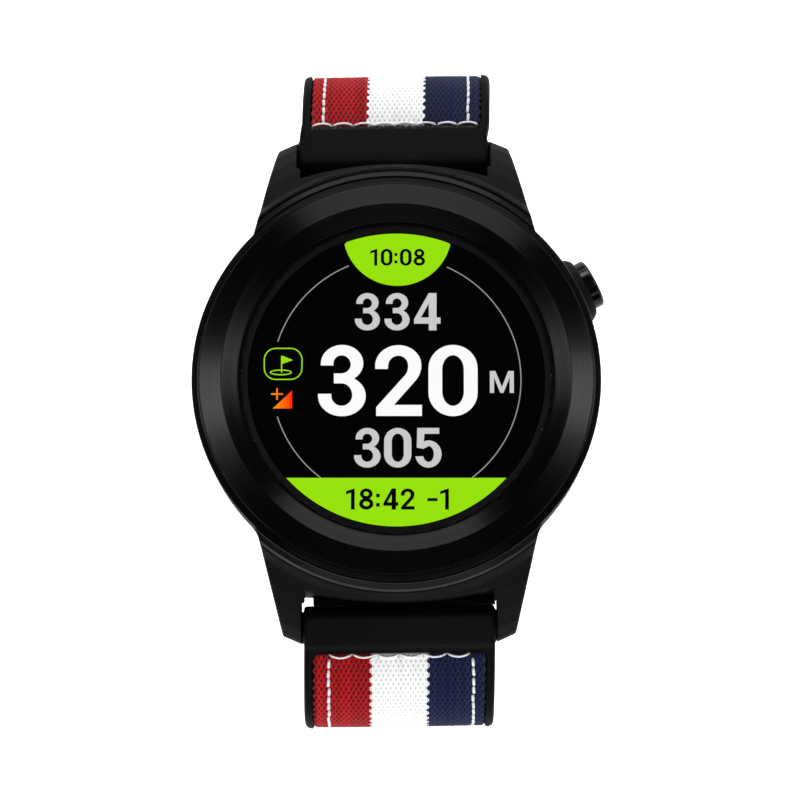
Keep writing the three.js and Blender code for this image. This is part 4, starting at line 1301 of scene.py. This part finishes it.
def fabric(name, body, side, end, node):
    step = YARN / 2
    columns = int(round(FABRIC_HALF * 2 / step))
    column_x = (np.arange(columns + 1) - columns / 2) * step
    near = np.arange(FABRIC_START + 0.08, 26.0, PICK / 4)     # finer where it is in view
    far = np.arange(near[-1] + PICK / 3, end - 0.08, PICK / 3)
    row_s = np.concatenate([near, far])
    x, s = np.meshgrid(column_x, row_s, indexing="ij")
    scale = fabric_half_width(s) / 9.7
    # weave is 1 on a yarn's back and -1 in the hollow beside it
    shifted = x + 1000 * YARN
    yarn = np.floor(shifted / YARN)
    weave = (np.sin(np.pi * shifted / YARN) * np.cos(np.pi * s / PICK)
             - 0.10 * np.cos(2 * np.pi * s / PICK))
    weave = np.clip(weave, -1, 1)
    relief = 1 - ((1 - weave) / 2) ** 1.5
    jitter = 0.9 + 0.2 * rng.random((columns + 1, 1))
    n = -0.32 + 0.22 * relief * jitter
    # rounded hem at the border, and a soft swell between the side seams
    edge = np.minimum.reduce([FABRIC_HALF - np.abs(x), s - row_s[0], row_s[-1] - s])
    hem = np.clip(edge / 0.45, 0, 1)
    n = n - 0.30 * (1 - np.sqrt(np.clip(1 - (1 - hem) ** 2, 0, 1)))
    n = n + 0.05 * np.cos(np.clip(x / 9.7, -1, 1) * np.pi / 2)
    ragged = (0.17 * np.cos(np.pi * s / PICK + 0.6 * np.sin(s * 1.7))
              * np.clip(1 - (FABRIC_HALF - np.abs(x)) / 0.5, 0, 1) * np.sign(x))
    upper = strap_point(x * scale + ragged, s, n, side)
    lower = strap_point(x * scale, s, np.full_like(n, -0.66), side)
    verts = np.concatenate([upper.reshape(-1, 3), lower.reshape(-1, 3)])

    layer = x.size
    index = np.arange(layer).reshape(x.shape)
    quads = np.stack([index[:-1, :-1], index[1:, :-1], index[1:, 1:], index[:-1, 1:]], -1)
    mid_x, mid_s = (x[:-1, :-1] + x[1:, 1:]) / 2, (s[:-1, :-1] + s[1:, 1:]) / 2
    keep = np.ones(mid_x.shape, bool)
    if side < 0:
        keep = np.hypot(mid_x * scale[:-1, :-1], from_hole(mid_s)) > 1.28
    top = quads[keep]
    # edges used once are the rim, which goes down to the underside
    edges = np.concatenate([top[:, [k, (k + 1) % 4]] for k in range(4)])
    pair = np.sort(edges, 1)
    _, inverse, uses = np.unique(pair[:, 0].astype(np.int64) * (layer + 1) + pair[:, 1],
                                 return_inverse=True, return_counts=True)
    rim = edges[uses[inverse] == 1]
    wall = np.stack([rim[:, 1], rim[:, 0], rim[:, 0] + layer, rim[:, 1] + layer], 1)
    faces = np.concatenate([top, wall, top[:, ::-1] + layer])

    # stripes meet in a line of small teeth
    tooth = 0.19 * (2 * np.abs(2 * ((mid_s / (2 * PICK)) % 1) - 1) - 1)
    stripe_x = mid_x * side + tooth
    stripe = stripe_at(stripe_x)
    if side > 0:
        bound_end = (FABRIC_START + 0.30 + 0.05 * np.sin(stripe_x * 9.0)
                     + 0.04 * np.sin(stripe_x * 23.0))
        stripe = np.where(mid_s < bound_end, BOUND, stripe)
    yarn_index = np.clip(yarn[:-1, :-1] - yarn.min(), 0, columns + 1).astype(int)
    tone = rng.random((columns + 2,))[yarn_index] * 0.5 + rng.random(mid_x.shape) * 0.35 + 0.1
    wall_x = (verts[wall[:, 0]][:, 0] + verts[wall[:, 1]][:, 0]) / 2

    used = np.unique(faces)
    remap = np.full(len(verts), -1, np.int64)
    remap[used] = np.arange(len(used))
    ob = make_mesh(name, verts[used], remap[faces])
    for attribute, domain, values in (
            ("stripe", "FACE", [stripe[keep], stripe_at(wall_x), stripe[keep]]),
            ("yarn", "FACE", [tone[keep], np.full(len(wall) + len(top), 0.3)]),
            ("rise", "POINT", [(0.5 + 0.5 * weave).ravel(), np.full(layer, 0.5)])):
        values = np.concatenate(values).astype(np.float32)
        if domain == "POINT":
            values = values[used]
        ob.data.attributes.new(attribute, "FLOAT", domain).data.foreach_set("value", values)
    dress(ob, MATS["fabric"], body, node, slot="striped_fabric")


fabric("fabric_12", "upper_strap", 1, UPPER_FABRIC_END, "upper_strap_fabric")
fabric("fabric_6", "lower_strap", -1, LOWER_FABRIC_END, "lower_strap_fabric")


# ------------------------------------------------------------------ threads
def thread_tube(path, radius, sides=7):
    """Tube with narrowed ends along a path in strap coordinates: points, quads and caps."""
    path = np.array(path, float)
    tangent = np.gradient(path, axis=0)
    tangent /= np.linalg.norm(tangent, axis=1)[:, None]
    last = len(path) - 1
    points, quads = [], []
    for i, centre in enumerate(path):
        across = np.cross(tangent[i], np.array([0, 0, 1.0]))
        across /= max(np.linalg.norm(across), 1e-6)
        up = np.cross(across, tangent[i])
        r = radius * (0.55 if i in (0, last) else 1.0)
        for k in range(sides):
            turn = 2 * math.pi * k / sides
            points.append(centre + r * (math.cos(turn) * across + math.sin(turn) * up * 0.8))
    for i in range(last):
        for k in range(sides):
            k2 = (k + 1) % sides
            quads.append((i * sides + k, i * sides + k2,
                          (i + 1) * sides + k2, (i + 1) * sides + k))
    caps = [tuple(range(sides))[::-1], tuple(last * sides + k for k in range(sides))]
    return np.array(points), quads, caps


def threads(name, body, side, paths, mat):
    """One object of threads, each (path, radius)."""
    points, quads, caps, offset = [], [], [], 0
    for path, radius in paths:
        tube, tube_quads, tube_caps = thread_tube(path, radius)
        points.append(tube)
        quads += [tuple(i + offset for i in face) for face in tube_quads]
        caps += [tuple(i + offset for i in face) for face in tube_caps]
        offset += len(tube)
    points = np.concatenate(points)
    placed = strap_point(points[:, 0], points[:, 1], points[:, 2], side)
    ob = listed_object(name, placed * MM, quads + caps)
    for polygon in ob.data.polygons:
        polygon.use_smooth = True
    dress(ob, mat, body, slot="striped_fabric")


def edge_binding(name, body, side):
    """Dark thread in short slanted turns over the end of the fabric next to the case."""
    half = float(fabric_half_width(FABRIC_START)) - 0.1
    pitch = 0.34
    paths = []
    for x0 in np.arange(-half, half - 0.3, pitch):
        off_x, off_s, off_n = rng.normal(0, 0.02, 3)
        paths.append(([(x0 + pitch * t + off_x * 2, FABRIC_START - 0.26 + 0.50 * t + off_s,
                        -0.16 + 0.16 * math.sin(math.pi * t) ** 0.5 + off_n)
                       for t in np.linspace(0, 1, 6)], 0.12))
    threads(name, body, side, paths, MATS["binding"])


def stitching(name, body, side, end):
    """Two side seams of single stitches, and a scalloped row across each end."""
    upper = side > 0
    pitch, length, lean = 1.14, 1.03, 0.07
    seam_start, seam_end = FABRIC_START + 0.75, end - 1.2
    seam_radius = 0.17 if upper else 0.18
    paths = []
    for edge in (-1, 1):
        inset = 1.38 if upper else 1.5 + 0.2 * edge
        for k in range(int((seam_end - seam_start) / pitch)):
            s0 = seam_start + pitch * k + rng.normal(0, 0.03)
            x0 = edge * (fabric_half_width(s0) - inset) + rng.normal(0, 0.03)
            paths.append(([(x0 + lean * edge * (t - 0.5), s0 + length * t,
                            -0.24 + 0.20 * math.sin(math.pi * t) ** 0.6)
                           for t in np.linspace(0, 1, 7)], seam_radius))
    scallop_width, depth = (2.3, 0.27) if upper else (2.75, 0.40)
    # the crowns of the scallops lie away from the fabric's end
    for row, inward in ((FABRIC_START + (0.62 if upper else 0.55), 1), (end - 0.62, -1)):
        half = float(fabric_half_width(row)) - (0.15 if upper and inward > 0 else 1.7)
        count = int(round(2 * half / scallop_width))
        step = 2 * half / count
        for k in range(count):
            x0 = -half + step * k
            paths.append(([(x0 + step * (0.015 + 0.97 * t),
                            row - inward * (depth * (1 - math.sin(math.pi * t) ** 0.8))
                            + rng.normal(0, 0.006),
                            -0.20 + 0.17 * math.sin(math.pi * t) ** 0.4)
                           for t in np.linspace(0, 1, 11)], 0.125))
    threads(name, body, side, paths, MATS["thread"])


edge_binding("edge_binding_12", "upper_strap", 1)
stitching("stitching_12", "upper_strap", 1, UPPER_FABRIC_END)
stitching("stitching_6", "lower_strap", -1, LOWER_FABRIC_END)


# ------------------------------------------------------------------ keepers
def keeper(name, body, start, end, node):
    """Rubber loop around the twelve o'clock strap, from start to end along it."""
    def field(x, s, n):
        ax, an = np.abs(x), np.abs(n - 0.15)
        outer = rounded_box(ax - 11.65, an - 4.25, 1.5)
        inner = rounded_box(ax - 10.4, an - 3.08, 0.8)
        d = soft_max(outer, np.abs(s - (start + end) / 2) - (end - start) / 2, blend=0.7)
        return soft_max(d, -inner, blend=0.35)

    ob = field_object(name, field, (-12.2, start - 0.6, -4.8), (12.2, end + 0.6, 5.0),
                      cell_size(0.3), on_strap(1))
    dress(ob, MATS["rubber"], body, node, slot="strap_rubber")


keeper("keeper_fixed", "upper_strap", 59.5, 64.5, "fixed_keeper")
keeper("keeper_sliding", "keeper", 48.5, 53.5, "free_keeper")

# ------------------------------------------------------------------ buckle
# The buckle is shaped in (x, t, n) from its pin: across, on along the strap's end, and out
# of the strap's outer face.
END_SLOPE = math.radians(STRAP_SLOPE[-1][1])
BUCKLE_AXES = np.array([[1.0, 0, 0], [0, math.cos(END_SLOPE), -math.sin(END_SLOPE)],
                        [0, math.sin(END_SLOPE), math.cos(END_SLOPE)]])
# side outline of the tongue, rows of (t, n, corner radius)
TONGUE_OUTLINE = [(-0.27, 1.5, 0.8), (-1.1, 1.1, 1), (-1.55, 0.2, 1), (-1.5, -0.5, 1),
                  (-1.0, -1.2, 1), (0, -1.55, 1), (0.9, -1.25, 1), (1.5, -0.45, 1),
                  (2.2, 0.55, 1.5), (4.0, 1.12, 3), (8.3, 1.36, 3), (11.3, 1.36, 0.3),
                  (11.85, 1.8, 0.3), (11.4, 2.3, 0.3), (5.0, 2.4, 3), (2.2, 2.15, 2),
                  (0.6, 1.75, 2)]
FRAME_OUTER, FRAME_INNER = 12.9, 10.9     # half widths
PIN_HALF, PIN_RADIUS = 12.6, 0.8


def on_buckle(points, normals, _corners):
    return points @ BUCKLE_AXES + BUCKLE_PIN, normals @ BUCKLE_AXES


def buckle_frame():
    def plan(x, t, half, start, end, corner):
        return rounded_box(np.abs(x) - half,
                           np.abs(t - (start + end) / 2) - (end - start) / 2, corner)

    def field(x, t, n):
        outer = np.where(t > 4, plan(x, t, FRAME_OUTER, -1.4, 11.4, 2.3),
                         plan(x, t, FRAME_OUTER, -1.4, 11.4, 1.2))
        inner = np.where(t > 4, plan(x, t, FRAME_INNER, -9, 8.9, 1.0),
                         np.abs(x) - FRAME_INNER)
        d = soft_max(outer, np.abs(n) - 1.05, blend=0.75)
        d = soft_max(d, -inner, blend=0.5)
        # the cross bar is dished where the tongue rests
        d = soft_max(d, 2.1 - np.sqrt(x * x + (n - 2.75) ** 2), blend=0.3)
        return np.maximum(d, -np.maximum(span(t, n) - 0.87, 9.9 - np.abs(x)))

    ob = field_object("buckle_loop", field, (-13.4, -2.0, -1.7), (13.4, 12.0, 1.7),
                      cell_size(0.24), on_buckle)
    dress(ob, MATS["buckle"], "buckle", "buckle_frame", slot="buckle_metal")


def buckle_tongue():
    outline = OutlineField(TONGUE_OUTLINE, (-3, -3), (13.5, 4), step=0.04, arc_steps=4)

    def field(x, t, n):
        half = np.interp(t, [0, 4, 11.6], [1.3, 1.3, 1.0])
        d = soft_max(outline(t, n), np.abs(x) - half, blend=0.4)
        return np.maximum(d, 0.88 - span(t, n))

    ob = field_object("buckle_prong", field, (-1.7, -2.0, -2.0), (1.7, 12.4, 2.9), 0.16,
                      on_buckle)
    dress(ob, MATS["buckle"], "tongue", "buckle_tongue", slot="buckle_metal")


def buckle_pin():
    profile = [(0, -PIN_HALF, 0), (PIN_RADIUS, -PIN_HALF, 0.2), (PIN_RADIUS, PIN_HALF, 0.2),
               (0, PIN_HALF, 0)]
    ob = lathe("buckle_pin", round_corners(profile, closed=False), 40)
    ob.data.transform(Matrix.Translation(Vector(BUCKLE_PIN * MM))
                      @ Matrix.Rotation(math.pi / 2, 4, "Y"))
    dress(ob, MATS["steel"], "buckle", "buckle_bar", slot="plain_steel")


buckle_frame()
buckle_tongue()
buckle_pin()


# ------------------------------------------------------------------ coil springs
def spring(node, body):
    """Copy of a spring from the frame, in place of the frame's own spring."""
    source = frame["nodes"][node]
    mesh = source.data.copy()
    mesh.transform(source.matrix_world)
    ob = add_object(node + "_coil", mesh)
    dress(ob, MATS["steel"], body, node)
    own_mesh(ob)


spring("button_spring", "case")
spring("upper_bar_spring", "upper_strap")
spring("lower_bar_spring", "lower_strap")

# ------------------------------------------------------------------ frame pieces kept as they are
KEPT_MATERIALS = {         # the rest are steel
    "lens_gasket": "seal", "back_gasket": "seal", "button_oring": "seal",
    "battery_pad": "seal", "display_flex": "film", "main_board": "board",
    "gps_antenna": "ceramic", "battery_cell": "foil",
}
for name, ob in frame["nodes"].items():
    if ob.hide_render:
        continue
    ob.data.materials.clear()
    ob.data.materials.append(MATS[KEPT_MATERIALS.get(name, "steel")].material)


# ------------------------------------------------------------------ floor, light and camera
# Lengths are metres from here on.
def floor():
    m = Mat("floor_pale")
    soft = m.noise(scale=6.0, detail=2.0)
    rays = m.node("ShaderNodeLightPath")
    m.set(color=m.ramp(soft, [(0.3, 0.80), (0.7, 0.84)]), rough=0.9, spec=0.1, glow=(1, 1, 1),
          glow_strength=m.math("MULTIPLY", rays.outputs["Is Camera Ray"], 0.75))
    half, gap = 6.0, 0.0005
    corners = np.array([(-half, -half, 0), (half, -half, 0), (half, half, 0), (-half, half, 0)])
    ob = listed_object("floor", corners, [(0, 1, 2, 3)])
    ob.location = (0, 0, cad_lo[2] - gap)
    ob.data.materials.append(m.material)


def area_light(name, direction, distance, width, height, power, seen_by,
               target=(0, 0, 0.008)):
    """Rectangle that lights back along direction, seen by gloss or by matt surfaces alone."""
    light = bpy.data.lights.new(name, "AREA")
    light.shape = "RECTANGLE"
    light.size, light.size_y = width, height
    light.energy = power
    light.spread = math.pi
    ob = bpy.data.objects.new(name, light)
    away = Vector(direction).normalized()
    ob.location = Vector(target) + away * distance
    ob.rotation_mode = "QUATERNION"
    ob.rotation_quaternion = away.to_track_quat("Z", "Y")
    ob.visible_diffuse = seen_by == "diffuse"
    ob.visible_glossy = seen_by == "glossy"
    bpy.context.scene.collection.objects.link(ob)


def polar(off_vertical, azimuth):
    """Direction from degrees; azimuth 90 is towards twelve o'clock, 0 towards three."""
    a, b = math.radians(off_vertical), math.radians(azimuth)
    return (math.sin(a) * math.cos(b), math.sin(a) * math.sin(b), math.cos(a))


def lights():
    area_light("top_box", (0, 1, 0.0), 0.585, width=0.68, height=0.36, power=3.5,
               seen_by="glossy", target=(0.08, 0, 0.53))
    # name, direction, distance, width, height, power in watts, seen by
    for row in (
            ("left_box", (-0.505, 0.086, 0.858), 0.9, 0.20, 0.33, 2.5, "glossy"),
            ("right_box", (0.505, 0.086, 0.858), 0.9, 0.20, 0.33, 2.5, "glossy"),
            ("front_line", polar(55, 270), 1.0, 1.2, 0.16, 1.6, "glossy"),
            ("rear_line", polar(73, 90), 1.0, 1.2, 0.14, 1.6, "glossy"),
            ("overhead_fill", polar(4, 270), 1.1, 0.9, 0.9, 3.0, "diffuse"),
            ("front_fill", polar(57, 270), 1.0, 1.2, 0.4, 11.5, "diffuse"),
            ("rear_fill", polar(68, 90), 1.0, 1.2, 0.4, 13.0, "diffuse")):
        area_light(*row)


def world():
    """White to the camera, dim to everything else."""
    room = bpy.data.worlds.new("pale_room")
    bpy.context.scene.world = room
    room.use_nodes = True
    tree = room.node_tree
    background = tree.nodes["Background"]
    background.inputs["Color"].default_value = (1, 1, 1, 1)
    rays = tree.nodes.new("ShaderNodeLightPath")
    strength = tree.nodes.new("ShaderNodeMapRange")
    strength.inputs["To Min"].default_value = 0.055
    strength.inputs["To Max"].default_value = 1.0
    tree.links.new(rays.outputs["Is Camera Ray"], strength.inputs["Value"])
    tree.links.new(strength.outputs[0], background.inputs["Strength"])


def camera():
    """Looks down at the glass, tilted a little towards six o'clock."""
    tilt = math.radians(8.5)
    distance = 0.470
    view_width = 0.0896            # seen at the glass
    data = bpy.data.cameras.new("camera")
    ob = add_object("camera", data)
    data.sensor_width = 36
    data.lens = data.sensor_width * distance / view_width
    away = Vector((0, -math.sin(tilt), math.cos(tilt)))
    ob.location = Vector((0, 0, GLASS_TOP * MM)) + away * distance
    ob.rotation_mode = "QUATERNION"
    turn = Matrix.Rotation(tilt, 3, "X") @ Matrix.Rotation(-DISPLAY_ROLL, 3, "Z")
    ob.rotation_quaternion = turn.to_quaternion()
    data.shift_x = 0.004625
    data.shift_y = -0.028125
    data.clip_start, data.clip_end = 0.01, 50
    bpy.context.scene.camera = ob
    bpy.context.scene.view_settings.view_transform = "Standard"
    bpy.context.scene.view_settings.look = "None"


floor()
lights()
world()
camera()
